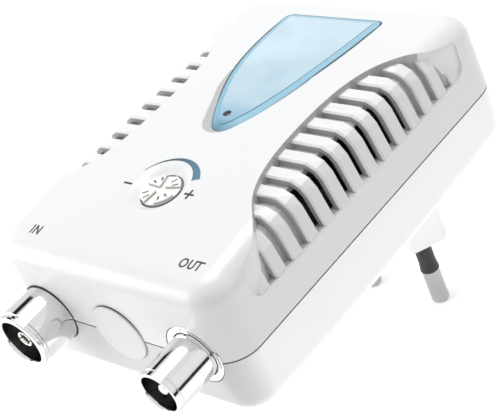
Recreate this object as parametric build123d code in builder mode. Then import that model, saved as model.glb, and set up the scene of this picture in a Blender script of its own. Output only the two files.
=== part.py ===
import os
from math import radians, sqrt, tan

from build123d import *

os.makedirs("parts", exist_ok=True)

# Frame: the origin is the middle of the plug face, +Z points up to the ribbed cover,
# -Y to the aerial sockets and +X to the output side. All lengths are millimetres.

# Housing as a whole
housing_width = 60.0
housing_length = 86.5
housing_corner = 6.5
front_to_plug = 70.0
parting_height = 32.0
draft_angle = 2.0
overrun = 5.0
fit_gap = 0.1

front_y = -front_to_plug
rear_y = front_y + housing_length
middle_y = (front_y + rear_y) / 2

# Top cover shell
cover_height = 18.2
cover_wall = 2.0
cover_shoulder = 4.6
crown_from_front = 44.5
crown_radius = 363.0

# Ribbed and vented flank recesses of the cover
recess_from_front = 9.8
recess_length = 67.8
recess_foot = 6.9
recess_corner = 2.5
recess_waist = 18.4
recess_quarter = 22.6
recess_end = 29.2
quarter_share = 0.195
rib_pitch = 4.78
rib_width = 3.05
rib_count = 14
rib_edge = 0.35
rib_crest_sink = 1.1
rib_crest_x = 25.4
rib_crest_slope = 0.15
rib_knee_x = 27.3
rib_knee_sink = 2.4
rib_hip_x = 28.5
rib_hip_sink = 4.6
end_land = 0.8
gap_depth = 1.6
skin_wall = 1.2
vent_reach = 3
vent_width = 1.2
vent_start_x = 24.6
short_vent_start_x = 27.0
vent_sill = 0.8

# Indicator lens and its seat
lens_tip_from_front = 38.5
lens_length = 40.4
lens_half_width = 12.7
lens_shoulder = 11.0
lens_cheek = 6.4
shoulder_share = 0.53
cheek_share = 0.215
lens_tip_round = 3.2
lens_corner_round = 1.6
lens_thickness = 1.7
lens_sink = 0.15
lens_bevel = 0.6
lens_pad_wall = 1.2
lens_pad_rim = 1.4
scoop_from_front = 48.6
scoop_radius = 9.8
scoop_depth = 0.45

# Gain control in its dish
dial_from_front = 21.9
dish_radius = 6.5
dish_depth = 1.25
rotor_radius = 4.1
rotor_sink = 0.25
rotor_flange = 4.9
rotor_flange_thickness = 0.8
rotor_running_gap = 0.06
rotor_edge = 0.25
rotor_stem = 1.95
stem_end_lift = 1.5
cross_slot_foot = 1.3
cross_slot_mouth = 2.5
cross_slot_depth = 0.7
cross_turn = 5.0
tick_length = 1.2
tick_width = 0.3
tick_depth = 0.3
tick_radius = 3.2
tick_spread = 28.0
dial_pad_radius = 7.6
dial_floor = 1.5
dish_land = 0.35
pot_width = 9.5
pot_height = 5.2
pot_corner = 0.8
pot_bush = 3.4
pot_bush_height = 3.5

# Base shell
base_depth = 13.4
base_wall = 2.0
base_edge = 3.0
keel_from_front = 30.0
keel_radius = 800.0
seam_gap = 0.35
seam_depth = 0.5
tongue_height = 1.5
tongue_width = 1.0

# Plug boss, its insert and its two pins
plug_length = 35.3
plug_flat = 26.1
plug_width = 13.7
plug_corner = 1.6
plug_face_edge = 0.5
boss_wall = 1.9
insert_depth = 7.0
pin_spread = 19.0
pin_length = 19.0
pin_radius = 2.0
pin_core = 1.5
pin_tip = 1.2
pin_root = 2.2
sleeve_length = 10.0
sleeve_radius = 1.88
sleeve_flare = 2.15
sleeve_flare_length = 2.2
sleeve_seat = 1.0
strap_width = 3.0
strap_thickness = 0.8
strap_tail = 1.6

# Aerial sockets and the blank between them
socket_spread = 38.92
socket_rise = 0.32
socket_barrel = 6.35
socket_flange = 7.0
socket_flange_thickness = 1.3
socket_tail = 5.7
input_reach = 9.0
input_bore = 4.85
input_depth = 10.0
input_groove_from_mouth = 0.75
input_groove_width = 0.8
input_groove_depth = 0.5
input_lip_bevel = 0.35
contact_from_mouth = 1.1
contact_outer = 1.75
contact_inner = 1.2
contact_depth = 7.5
contact_slot = 0.35
contact_tail = 0.9
output_reach = 10.05
output_tube = 4.76
output_bore = 3.9
output_depth = 9.0
output_ring_sink = 0.2
output_groove_from_mouth = 1.2
output_groove_width = 0.3
output_groove_depth = 0.15
output_lip_bevel = 0.25
output_pin_radius = 1.17
output_pin_from_mouth = 1.1
output_pin_tip = 0.8
socket_tail_end = 13.0
lead_past_wall = 2.5
lead_hole = 2.0
lead_radius = 0.5
blank_radius = 6.3
blank_proud = 0.35
blank_edge = 0.25
blank_flange = 7.0
blank_flange_thickness = 1.0

# Circuit board and what stands on it
board_sink = 5.0
board_thickness = 1.6
board_width = 52.0
board_from_front = 13.0
board_length = 61.6
board_corner = 2.0
can_from_front = 13.0
can_length = 27.0
can_width = 49.0
can_height = 13.0
can_wall = 0.6
can_edge = 0.8
transformer_from_front = 58.5
core_width = 27.0
core_length = 12.0
core_height = 18.0
core_window_width = 6.5
core_window_height = 10.0
bobbin_length = 18.5
core_limb = 3.5
bobbin_cheek = 1.0
winding_inset = 1.2
capacitor_x = -19.0
capacitor_from_front = 47.5
capacitor_radius = 4.0
capacitor_height = 11.5
capacitor_edge = 0.7
capacitor_groove = 0.4
capacitor_groove_height = 2.4
diode_from_front = 46.0
diode_x = 19.0
diode_pitch = 3.6
diode_wire = 1.6
diode_count = 4
diode_length = 5.0
diode_radius = 1.3
wire_radius = 0.35
regulator_x = -19.5
regulator_from_front = 58.0
regulator_width = 10.0
regulator_thickness = 4.4
regulator_height = 9.0
regulator_tab = 1.3
regulator_tab_height = 14.0
fuse_x = 19.0
fuse_from_front = 63.2
fuse_length = 9.0
fuse_radius = 1.8
fuse_cap = 2.0
chip_width = 5.0
chip_length = 4.0
chip_height = 1.6
chip_from_front = 32.0
leg_count = 4
leg_pitch = 1.27
leg_width = 0.45
leg_reach = 1.0
leg_thickness = 0.3
balun_x = -14.0
balun_from_front = 26.0
balun_width = 6.0
balun_length = 7.0
balun_height = 4.0
balun_hole = 0.9
led_radius = 1.5
led_flange = 1.9
led_flange_height = 1.0
led_body = 5.2
led_from_front = 43.9
led_leg_spread = 2.54
led_leg_radius = 0.3
led_bevel = 1.2
led_peep = 0.9
led_x = -0.8
led_seat_gap = 0.2

# Screws, their bosses and the posts under the board
front_screw_spread = 19.4
front_screw_from_front = 8.0
rear_screw_spread = 46.6
rear_screw_from_front = 79.6
screw_boss = 3.0
screw_well = 3.9
screw_seat_wall = 1.2
screw_shank = 1.4
screw_head = 2.6
screw_head_height = 1.8
screw_head_edge = 0.3
screw_seat_below_seam = 8.0
screw_grip = 7.5
screw_drive_width = 0.9
screw_drive_length = 2.8
screw_drive_depth = 0.9
post_spread = 43.0
post_front = 17.0
post_rear = 70.5
post_radius = 2.4
post_screw_shank = 0.9
post_screw_head = 2.0
post_screw_head_height = 1.2
post_screw_length = 4.0

crown_z = parting_height + cover_height
crown_y = front_y + crown_from_front
keel_z = parting_height - base_depth
keel_y = front_y + keel_from_front
socket_z = parting_height + socket_rise
board_top = parting_height - board_sink
board_under = board_top - board_thickness
can_front_y = front_y + can_from_front
flange_front = cover_wall + socket_flange * tan(radians(draft_angle))
flange_back = flange_front + socket_flange_thickness
input_x = -socket_spread / 2
output_x = socket_spread / 2
dial_y = front_y + dial_from_front
led_y = front_y + led_from_front
scoop_y = front_y + scoop_from_front
lens_tip_y = front_y + lens_tip_from_front
recess_y = front_y + recess_from_front
recess_middle_y = recess_y + recess_length / 2
front_screws = [(side * front_screw_spread / 2, front_y + front_screw_from_front) for side in (-1, 1)]
rear_screws = [(side * rear_screw_spread / 2, front_y + rear_screw_from_front) for side in (-1, 1)]
housing_screw_places = front_screws + rear_screws
post_places = [(side * post_spread / 2, front_y + y) for side in (-1, 1) for y in (post_front, post_rear)]


def crown_drop(y):
    # How far the crowned top has fallen at this place along the length
    return crown_radius - sqrt(crown_radius**2 - (y - crown_y) ** 2)


def keel_rise(y):
    # How far the curved underside has risen at this place along the length
    return keel_radius - sqrt(keel_radius**2 - (y - keel_y) ** 2)


def crown_section(inset):
    # Side view of all that lies under the crowned top, which is lowered by the inset
    with BuildSketch(Plane.YZ) as section:
        with BuildLine():
            start = front_y - overrun
            end = rear_y + overrun
            top = crown_z - inset
            left = (start, top - crown_drop(start))
            right = (end, top - crown_drop(end))
            ThreePointArc(left, (crown_y, top), right)
            Polyline(right, (end, -overrun), (start, -overrun), left)
        make_face()
    return section.sketch


def keel_section(inset):
    # Side view of all that lies above the curved underside, which is raised by the inset
    with BuildSketch(Plane.YZ) as section:
        with BuildLine():
            start = front_y - overrun
            end = rear_y + overrun
            bottom = keel_z + inset
            left = (start, bottom + keel_rise(start))
            right = (end, bottom + keel_rise(end))
            ThreePointArc(left, (keel_y, bottom), right)
            Polyline(right, (end, crown_z), (start, crown_z), left)
        make_face()
    return section.sketch


def flank_section(inset):
    # Front view of the housing up to the rib crests, moved inwards by the inset
    foot_x = housing_width / 2 - recess_foot * tan(radians(draft_angle))
    foot_z = parting_height + recess_foot
    hip_z = crown_z - rib_hip_sink
    lean = (foot_x - rib_hip_x) / (hip_z - foot_z)
    low_x = foot_x + foot_z * lean
    right = [
        (low_x, 0),
        (rib_hip_x, hip_z),
        (rib_knee_x, crown_z - rib_knee_sink),
        (rib_crest_x, crown_z - rib_crest_sink - rib_crest_slope),
        (recess_waist, crown_z - rib_crest_sink),
    ]
    left = [(-x, z) for x, z in reversed(right)]
    with BuildSketch(Plane.XZ) as section:
        with BuildLine():
            Polyline(*right, *left, close=True)
        make_face()
        if inset:
            offset(amount=-inset, kind=Kind.INTERSECTION)
    return section.sketch


def recess_plan(inset):
    # Plan of the right flank recess, its waisted edge moved towards the middle by the inset
    ends = [recess_y - inset, recess_y + recess_length + inset]
    quarters = [recess_y + recess_length * share for share in (quarter_share, 1 - quarter_share)]
    with BuildSketch(Plane.XY.offset(parting_height)) as plan:
        with BuildLine():
            Spline(
                (recess_end - inset, ends[0]),
                (recess_quarter - inset, quarters[0]),
                (recess_waist - inset, recess_middle_y),
                (recess_quarter - inset, quarters[1]),
                (recess_end - inset, ends[1]),
                tangents=[(0, 1), (0, 1)],
            )
            outside = housing_width / 2 + overrun
            Polyline(
                (recess_end - inset, ends[1]),
                (outside, ends[1]),
                (outside, ends[0]),
                (recess_end - inset, ends[0]),
            )
        make_face()
    return plan.sketch


def recess_side(inset):
    # Side view of the recess with its rounded lower corners
    height = cover_height + overrun
    low = parting_height + recess_foot - inset
    with BuildSketch(Plane.YZ) as outline:
        with Locations((recess_middle_y, low + height / 2)):
            RectangleRounded(recess_length + 2 * inset, height, recess_corner)
    return outline.sketch


def lens_plan(margin):
    # Shield outline of the lens, widened by the margin: straight rear edge, bowed cheeks, round tip
    rear = lens_tip_y + lens_length
    tip = (0, lens_tip_y - margin)
    cheek = (lens_cheek + margin, lens_tip_y + lens_length * cheek_share)
    shoulder = (lens_shoulder + margin, lens_tip_y + lens_length * shoulder_share)
    corner = (lens_half_width + margin, rear + margin)
    with BuildSketch(Plane.XY.offset(parting_height)) as plan:
        with BuildLine():
            Spline(tip, cheek, shoulder, corner)
            Spline(tip, *[(-x, y) for x, y in (cheek, shoulder, corner)])
            Line(corner, (-corner[0], corner[1]))
        make_face()
        fillet(plan.vertices().group_by(Axis.Y)[0], lens_tip_round + margin)
        fillet(plan.vertices().group_by(Axis.Y)[-1], lens_corner_round + margin)
    return plan.sketch


def plug_plan(inset, height):
    # Flat plug outline: two long flats with pointed, rounded ends
    half_flat = plug_flat / 2
    half_width = plug_width / 2
    half_length = plug_length / 2
    with BuildSketch(Plane.XY.offset(height)) as plan:
        with BuildLine():
            Polyline(
                (half_flat, half_width),
                (-half_flat, half_width),
                (-half_length, 0),
                (-half_flat, -half_width),
                (half_flat, -half_width),
                (half_length, 0),
                close=True,
            )
        make_face()
        fillet(plan.vertices(), plug_corner)
        if inset:
            offset(amount=-inset)
    return plan.sketch


def facing_rear(x, y, z):
    # Upright plane across the housing that looks along +Y
    return Plane((x, y, z), x_dir=(1, 0, 0), z_dir=(0, 1, 0))


def shell_plan(inset, mode=Mode.ADD):
    # Rounded rectangle of the housing at the parting line, drawn in the open sketch
    RectangleRounded(
        housing_width - 2 * inset,
        housing_length - 2 * inset,
        housing_corner - inset,
        mode=mode,
    )


# Space inside the cover
with BuildPart() as lens_pad:
    add(lens_plan(lens_pad_rim))
    extrude(amount=cover_height + overrun)
    pad_drop = lens_sink + lens_thickness + lens_pad_wall
    extrude(crown_section(pad_drop), amount=housing_width, both=True, mode=Mode.SUBTRACT)

rib_places = [recess_middle_y + rib_pitch * (i - (rib_count - 1) / 2) for i in range(rib_count)]
gap_places = [recess_middle_y + rib_pitch * (i - rib_count / 2) for i in range(rib_count + 1)]


def stepped_flank(inset):
    # Solid under the rib crests: one slab at each gap, each lowered to follow the crown
    with BuildPart() as slab:
        extrude(flank_section(inset), amount=rib_pitch / 2, both=True)
    with BuildPart() as flank:
        with Locations(*[(0, y, -crown_drop(y)) for y in gap_places]):
            add(slab.part)
    return flank.part


with BuildPart() as flank_skin:
    add(recess_plan(skin_wall))
    extrude(amount=cover_height + overrun)
    extrude(recess_side(skin_wall), amount=housing_width, both=True, mode=Mode.INTERSECT)
    add(stepped_flank(gap_depth + skin_wall), mode=Mode.SUBTRACT)
    mirror(about=Plane.YZ)

with BuildPart() as cover_hollow:
    with BuildSketch(Plane((0, middle_y, parting_height))):
        shell_plan(cover_wall)
    extrude(amount=cover_height, taper=draft_angle)
    extrude(crown_section(cover_wall), amount=housing_width, both=True, mode=Mode.INTERSECT)
    chamfer(cover_hollow.faces().sort_by(Axis.Z)[-1].edges(), cover_shoulder - cover_wall)
    with BuildSketch(Plane((0, middle_y, parting_height))):
        shell_plan(0)
    extrude(amount=-overrun)
    add(flank_skin.part, mode=Mode.SUBTRACT)
    add(lens_pad.part, mode=Mode.SUBTRACT)

# Ribs of one flank: every rib is the same bar, lowered with the crown
with BuildPart() as rib_bar:
    extrude(flank_section(0), amount=rib_width / 2, both=True)
    crest_edges = rib_bar.edges().filter_by(lambda edge: edge.center().X > recess_waist / 2)
    chamfer(crest_edges.filter_by(lambda edge: abs(edge.center().Y) > rib_width / 4), rib_edge)
    extrude(flank_section(gap_depth + skin_wall / 2), amount=rib_width, both=True, mode=Mode.SUBTRACT)

with BuildPart() as end_bar:
    extrude(flank_section(0), amount=end_land / 2, both=True)
    extrude(flank_section(gap_depth + skin_wall / 2), amount=end_land, both=True, mode=Mode.SUBTRACT)

with BuildPart() as flank_ribs:
    with Locations(*[(0, y, -crown_drop(y)) for y in rib_places]):
        add(rib_bar.part)
    with Locations((0, recess_y + end_land / 2, -crown_drop(recess_y))):
        add(end_bar.part)
    extrude(recess_plan(0), amount=cover_height + overrun, mode=Mode.INTERSECT)
    extrude(recess_side(0), amount=housing_width, both=True, mode=Mode.INTERSECT)
    mirror(about=Plane.YZ)

with BuildPart() as flank_recess:
    add(recess_plan(0))
    extrude(amount=cover_height + overrun)
    extrude(recess_side(0), amount=housing_width, both=True, mode=Mode.INTERSECT)
    add(stepped_flank(gap_depth), mode=Mode.SUBTRACT)
    mirror(about=Plane.YZ)

# Vents through the floors of the middle gaps; one starts lower down
with BuildPart() as flank_vents:
    for i in range(-vent_reach, vent_reach + 1):
        start_x = short_vent_start_x if i == 1 else vent_start_x
        place = (start_x, recess_middle_y + rib_pitch * i, parting_height + recess_foot + vent_sill)
        with Locations(place):
            Box(
                housing_width / 2,
                vent_width,
                cover_height,
                align=(Align.MIN, Align.CENTER, Align.MIN),
            )
    mirror(about=Plane.YZ)

# Round openings of the front wall, shared by both shells
with BuildPart() as front_bores:
    for x, radius in (
        (input_x, socket_barrel),
        (0, blank_radius),
        (output_x, socket_barrel),
    ):
        with BuildSketch(facing_rear(x, front_y, socket_z)):
            Circle(radius + fit_gap)
        extrude(amount=2 * cover_wall, both=True)
    for x in (input_x, output_x):
        with BuildSketch(facing_rear(x, front_y + flange_front, socket_z)):
            Circle(socket_flange + fit_gap)
        extrude(amount=2 * cover_wall)

with BuildPart() as lens_seat:
    add(lens_plan(fit_gap))
    extrude(amount=cover_height + overrun)
    extrude(
        crown_section(lens_sink + lens_thickness),
        amount=housing_width,
        both=True,
        mode=Mode.SUBTRACT,
    )

# Top cover
dial_top = crown_z - crown_drop(dial_y)
dish_floor = dial_top - dish_depth
with BuildPart() as top_cover:
    with BuildSketch(Plane((0, middle_y, parting_height))):
        shell_plan(0)
    extrude(amount=cover_height + overrun, taper=draft_angle)
    extrude(crown_section(0), amount=housing_width, both=True, mode=Mode.INTERSECT)
    fillet(top_cover.faces().sort_by(Axis.Z)[-1].edges(), cover_shoulder)
    add(cover_hollow.part, mode=Mode.SUBTRACT)
    # Rebate for the tongue of the base
    with BuildSketch(Plane((0, middle_y, parting_height))):
        shell_plan(cover_wall - tongue_width - fit_gap)
    extrude(amount=tongue_height + fit_gap, mode=Mode.SUBTRACT)
    # Screw bosses
    for x, y in housing_screw_places:
        boss_height = cover_height - cover_wall * 3 / 4 - crown_drop(y)
        with BuildSketch(Plane((x, y, parting_height))):
            Circle(screw_boss)
        extrude(amount=boss_height)
        with BuildSketch(Plane((x, y, parting_height))):
            Circle(screw_shank + fit_gap)
        extrude(amount=screw_grip + fit_gap, mode=Mode.SUBTRACT)
    # Seat of the lens, with the scoop round its tip and the hole for the lamp
    with Locations((0, scoop_y, crown_z - scoop_depth)):
        Sphere(
            (scoop_radius**2 + scoop_depth**2) / (2 * scoop_depth),
            align=(Align.CENTER, Align.CENTER, Align.MIN),
            mode=Mode.SUBTRACT,
        )
    add(lens_seat.part, mode=Mode.SUBTRACT)
    with BuildSketch(Plane((led_x, led_y, parting_height))):
        Circle(led_radius + led_seat_gap)
    extrude(amount=cover_height, mode=Mode.SUBTRACT)
    # Dish and hole of the gain control
    with BuildSketch(Plane((0, dial_y, dish_floor - dial_floor))):
        Circle(dial_pad_radius)
    extrude(amount=dial_floor + dish_depth / 4)
    with Locations((0, dial_y, dish_floor)):
        Cone(
            rotor_radius + dish_land,
            2 * dish_radius - rotor_radius - dish_land,
            2 * dish_depth,
            align=(Align.CENTER, Align.CENTER, Align.MIN),
            mode=Mode.SUBTRACT,
        )
    with BuildSketch(Plane((0, dial_y, dish_floor - dial_floor))):
        Circle(rotor_radius + rotor_running_gap)
    extrude(amount=2 * dial_floor, mode=Mode.SUBTRACT)
    add(front_bores.part, mode=Mode.SUBTRACT)
    # Ribbed and vented flanks
    add(flank_recess.part, mode=Mode.SUBTRACT)
    add(flank_ribs.part)
    add(flank_vents.part, mode=Mode.SUBTRACT)

top_cover.part.label = "top_cover"
export_step(top_cover.part, "parts/top_cover.step")

# Indicator lens: follows the crown, with a bevelled rim and a peep hole over the lamp
with BuildPart() as indicator_lens:
    add(lens_plan(0))
    extrude(amount=cover_height + overrun)
    extrude(crown_section(lens_sink), amount=housing_width, both=True, mode=Mode.INTERSECT)
    extrude(
        crown_section(lens_sink + lens_thickness),
        amount=housing_width,
        both=True,
        mode=Mode.SUBTRACT,
    )
    chamfer(indicator_lens.faces().sort_by(Axis.Z)[-1].edges(), lens_bevel)
    with BuildSketch(Plane((led_x, led_y, parting_height))):
        Circle(led_peep)
    extrude(amount=cover_height, mode=Mode.SUBTRACT)

indicator_lens.part.label = "indicator_lens"
export_step(indicator_lens.part, "parts/indicator_lens.step")

# Base shell with the plug boss
with BuildPart() as base_hollow:
    with BuildSketch(Plane((0, middle_y, parting_height), z_dir=(0, 0, -1))):
        shell_plan(base_wall)
    extrude(amount=base_depth + overrun, taper=draft_angle)
    extrude(keel_section(base_wall), amount=housing_width, both=True, mode=Mode.INTERSECT)
    chamfer(base_hollow.faces().sort_by(Axis.Z)[0].edges(), base_edge - base_wall)


seat_z = parting_height - screw_seat_below_seam
post_hole_depth = post_screw_length - board_thickness + fit_gap
with BuildPart() as base_housing:
    with BuildSketch(Plane((0, middle_y, parting_height), z_dir=(0, 0, -1))):
        shell_plan(0)
    extrude(amount=base_depth + overrun, taper=draft_angle)
    extrude(keel_section(0), amount=housing_width, both=True, mode=Mode.INTERSECT)
    fillet(base_housing.faces().sort_by(Axis.Z)[0].edges(), base_edge)
    add(base_hollow.part, mode=Mode.SUBTRACT)
    # Plug boss and its well, open into the shell
    add(plug_plan(0, 0))
    extrude(amount=keel_z + base_wall)
    chamfer(base_housing.faces().sort_by(Axis.Z)[0].edges(), plug_face_edge)
    add(plug_plan(boss_wall, 0))
    extrude(amount=keel_z + 2 * base_wall, mode=Mode.SUBTRACT)
    # Shadow gap round the seam, and the tongue inside it
    with BuildSketch(Plane((0, middle_y, parting_height - seam_gap))):
        shell_plan(0)
        shell_plan(seam_depth, Mode.SUBTRACT)
    extrude(amount=seam_gap, mode=Mode.SUBTRACT)
    with BuildSketch(Plane((0, middle_y, parting_height))):
        shell_plan(cover_wall - tongue_width)
        shell_plan(cover_wall, Mode.SUBTRACT)
    extrude(amount=tongue_height)
    # Screw tubes with sunk heads
    for x, y in housing_screw_places:
        tube_depth = base_depth - base_wall / 2 - keel_rise(y)
        with BuildSketch(Plane((x, y, parting_height), z_dir=(0, 0, -1))):
            Circle(screw_boss)
        extrude(amount=tube_depth)
        with BuildSketch(Plane((x, y, seat_z + screw_seat_wall), z_dir=(0, 0, -1))):
            Circle(screw_well)
        extrude(amount=tube_depth + screw_seat_wall - screw_seat_below_seam)
        with BuildSketch(Plane((x, y, 0))):
            Circle(screw_shank + fit_gap)
        extrude(amount=parting_height, mode=Mode.SUBTRACT)
        with BuildSketch(Plane((x, y, seat_z), z_dir=(0, 0, -1))):
            Circle(screw_head + fit_gap)
        extrude(amount=seat_z, mode=Mode.SUBTRACT)
    # Posts that carry the circuit board
    for x, y in post_places:
        with BuildSketch(Plane((x, y, board_under), z_dir=(0, 0, -1))):
            Circle(post_radius)
        extrude(amount=board_under - keel_z - base_wall / 2 - keel_rise(y))
        with BuildSketch(Plane((x, y, board_under), z_dir=(0, 0, -1))):
            Circle(post_screw_shank + fit_gap)
        extrude(amount=post_hole_depth, mode=Mode.SUBTRACT)
    add(front_bores.part, mode=Mode.SUBTRACT)

base_housing.part.label = "base_housing"
export_step(base_housing.part, "parts/base_housing.step")

# Plug insert that holds the two pins
with BuildPart() as plug_insert:
    add(plug_plan(boss_wall + fit_gap, 0))
    extrude(amount=insert_depth)
    with Locations(*[(side * pin_spread / 2, 0, 0) for side in (-1, 1)]):
        Cylinder(
            pin_core,
            insert_depth,
            align=(Align.CENTER, Align.CENTER, Align.MIN),
            mode=Mode.SUBTRACT,
        )
        Cylinder(
            sleeve_radius,
            sleeve_seat,
            align=(Align.CENTER, Align.CENTER, Align.MIN),
            mode=Mode.SUBTRACT,
        )

plug_insert.part.label = "plug_insert"
export_step(plug_insert.part, "parts/plug_insert.step")

# Plug pins with their moulded sleeves, and the straps that lead to the board
for side, name in ((-1, "left"), (1, "right")):
    pin_x = side * pin_spread / 2
    with BuildPart() as pin:
        with BuildSketch(Plane((pin_x, 0, -pin_length))):
            Circle(pin_radius)
        extrude(amount=pin_length - sleeve_length)
        fillet(pin.faces().sort_by(Axis.Z)[0].edges(), pin_tip)
        with BuildSketch(Plane((pin_x, 0, -sleeve_length))):
            Circle(pin_core)
        extrude(amount=sleeve_length + insert_depth + pin_root)
    pin.part.label = f"{name}_pin"
    export_step(pin.part, f"parts/{name}_pin.step")

    with BuildPart() as sleeve:
        with BuildSketch(Plane.XZ):
            with BuildLine():
                Polyline(
                    (pin_x + pin_core, sleeve_seat),
                    (pin_x + sleeve_radius, sleeve_seat),
                    (pin_x + sleeve_radius, sleeve_flare_length - sleeve_length),
                    (pin_x + sleeve_flare, -sleeve_length),
                    (pin_x + pin_core, -sleeve_length),
                    close=True,
                )
            make_face()
        revolve(axis=Axis((pin_x, 0, 0), (0, 0, 1)))
    sleeve.part.label = f"{name}_sleeve"
    export_step(sleeve.part, f"parts/{name}_sleeve.step")

    with BuildPart() as strap:
        with BuildSketch(Plane((pin_x, 0, insert_depth + pin_root))):
            Rectangle(strap_width, strap_thickness)
        extrude(amount=board_top + strap_tail - insert_depth - pin_root)
    strap.part.label = f"{name}_strap"
    export_step(strap.part, f"parts/{name}_strap.step")


def turned(axis_x, outline):
    # Solid of revolution about a socket's axis, from (radius, distance behind the front face) pairs
    with BuildPart() as piece:
        with BuildSketch(Plane.XY.offset(socket_z)):
            with BuildLine():
                Polyline(*[(axis_x + radius, front_y + y) for radius, y in outline], close=True)
            make_face()
        revolve(axis=Axis((axis_x, 0, socket_z), (0, 1, 0)))
    return piece.part


# Input socket: outer shell, insulator and split contact
groove_front = input_groove_from_mouth - input_reach
groove_back = groove_front + input_groove_width
with BuildPart() as input_shell:
    add(
        turned(
            input_x,
            [
                (input_bore, -input_reach),
                (socket_barrel, -input_reach),
                (socket_barrel, groove_front),
                (socket_barrel - input_groove_depth, groove_front),
                (socket_barrel - input_groove_depth, groove_back),
                (socket_barrel, groove_back),
                (socket_barrel, flange_front),
                (socket_flange, flange_front),
                (socket_flange, flange_back),
                (socket_tail, flange_back),
                (socket_tail, socket_tail_end),
                (input_bore, socket_tail_end),
            ],
        )
    )
    mouth = input_shell.faces().sort_by(Axis.Y)[0]
    chamfer(mouth.edges(), input_lip_bevel)

input_shell.part.label = "input_shell"
export_step(input_shell.part, "parts/input_shell.step")

with BuildPart() as input_insulator:
    add(
        turned(
            input_x,
            [
                (contact_tail, input_depth - input_reach),
                (input_bore, input_depth - input_reach),
                (input_bore, socket_tail_end),
                (contact_tail, socket_tail_end),
            ],
        )
    )

input_insulator.part.label = "input_insulator"
export_step(input_insulator.part, "parts/input_insulator.step")

lead_end = socket_tail_end + lead_past_wall
contact_front = contact_from_mouth - input_reach
with BuildPart() as input_contact:
    add(
        turned(
            input_x,
            [
                (contact_inner, contact_front),
                (contact_outer, contact_front),
                (contact_outer, input_depth - input_reach),
                (contact_tail, input_depth - input_reach),
                (contact_tail, lead_end),
                (0, lead_end),
                (0, contact_front + contact_depth),
                (contact_inner, contact_front + contact_depth),
            ],
        )
    )
    with BuildSketch(facing_rear(input_x, front_y + contact_front, socket_z)):
        Rectangle(2 * contact_outer + contact_slot, contact_slot)
        Rectangle(contact_slot, 2 * contact_outer + contact_slot)
    extrude(amount=contact_depth - contact_outer, mode=Mode.SUBTRACT)
    with BuildSketch(Plane((input_x, front_y + lead_end - lead_radius, board_top))):
        Circle(lead_radius)
    extrude(amount=socket_z - board_top)

input_contact.part.label = "input_contact"
export_step(input_contact.part, "parts/input_contact.step")

# Output socket: outer tube with its flange ring, insulator and pin
output_groove_front = output_groove_from_mouth - output_reach
with BuildPart() as output_shell:
    add(
        turned(
            output_x,
            [
                (output_bore, -output_reach),
                (output_tube, -output_reach),
                (output_tube, output_groove_front),
                (output_tube - output_groove_depth, output_groove_front),
                (output_tube - output_groove_depth, output_groove_front + output_groove_width),
                (output_tube, output_groove_front + output_groove_width),
                (output_tube, output_ring_sink),
                (socket_barrel, output_ring_sink),
                (socket_barrel, flange_front),
                (socket_flange, flange_front),
                (socket_flange, flange_back),
                (socket_tail, flange_back),
                (socket_tail, socket_tail_end),
                (output_bore, socket_tail_end),
            ],
        )
    )
    chamfer(output_shell.faces().sort_by(Axis.Y)[0].edges(), output_lip_bevel)

output_shell.part.label = "output_shell"
export_step(output_shell.part, "parts/output_shell.step")

with BuildPart() as output_insulator:
    add(
        turned(
            output_x,
            [
                (output_pin_radius, output_depth - output_reach),
                (output_bore, output_depth - output_reach),
                (output_bore, socket_tail_end),
                (output_pin_radius, socket_tail_end),
            ],
        )
    )

output_insulator.part.label = "output_insulator"
export_step(output_insulator.part, "parts/output_insulator.step")

with BuildPart() as output_pin:
    add(
        turned(
            output_x,
            [
                (0, output_pin_from_mouth - output_reach),
                (output_pin_radius, output_pin_from_mouth - output_reach),
                (output_pin_radius, lead_end),
                (0, lead_end),
            ],
        )
    )
    chamfer(output_pin.faces().sort_by(Axis.Y)[0].edges(), output_pin_tip)
    with BuildSketch(Plane((output_x, front_y + lead_end - lead_radius, board_top))):
        Circle(lead_radius)
    extrude(amount=socket_z - board_top)

output_pin.part.label = "output_pin"
export_step(output_pin.part, "parts/output_pin.step")

# Round blank that closes the middle opening
with BuildPart() as blank_cap:
    add(
        turned(
            0,
            [
                (0, -blank_proud),
                (blank_radius, -blank_proud),
                (blank_radius, flange_front),
                (blank_flange, flange_front),
                (blank_flange, flange_front + blank_flange_thickness),
                (0, flange_front + blank_flange_thickness),
            ],
        )
    )
    chamfer(blank_cap.faces().sort_by(Axis.Y)[0].edges(), blank_edge)

blank_cap.part.label = "blank_cap"
export_step(blank_cap.part, "parts/blank_cap.step")

# Gain control: slotted head, retaining flange and stem in one moulding
rotor_top = dial_top - rotor_sink
flange_top = dish_floor - dial_floor - fit_gap
with BuildPart() as gain_rotor:
    with BuildSketch(Plane((0, dial_y, flange_top))):
        Circle(rotor_radius)
    extrude(amount=rotor_top - flange_top)
    chamfer(gain_rotor.faces().sort_by(Axis.Z)[-1].edges(), rotor_edge)
    with BuildSketch(Plane((0, dial_y, flange_top), z_dir=(0, 0, -1))):
        Circle(rotor_flange)
    extrude(amount=rotor_flange_thickness)
    with BuildSketch(Plane((0, dial_y, board_top + stem_end_lift))):
        Circle(rotor_stem)
    extrude(amount=flange_top - board_top - stem_end_lift)
    with BuildSketch(Plane((0, dial_y, rotor_top))):
        with PolarLocations(0, 4, start_angle=cross_turn):
            Polygon(
                (0, -cross_slot_foot / 2),
                (2 * rotor_radius, cross_slot_foot / 2 - cross_slot_mouth),
                (2 * rotor_radius, cross_slot_mouth - cross_slot_foot / 2),
                (0, cross_slot_foot / 2),
                align=None,
            )
    extrude(amount=-cross_slot_depth, mode=Mode.SUBTRACT)
    with BuildSketch(Plane((0, dial_y, rotor_top))):
        for quarter in range(4):
            for lean in (-tick_spread / 2, tick_spread / 2):
                with PolarLocations(tick_radius, 1, start_angle=cross_turn + 45 + 90 * quarter + lean):
                    Rectangle(tick_length, tick_width)
    extrude(amount=-tick_depth, mode=Mode.SUBTRACT)

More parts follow.
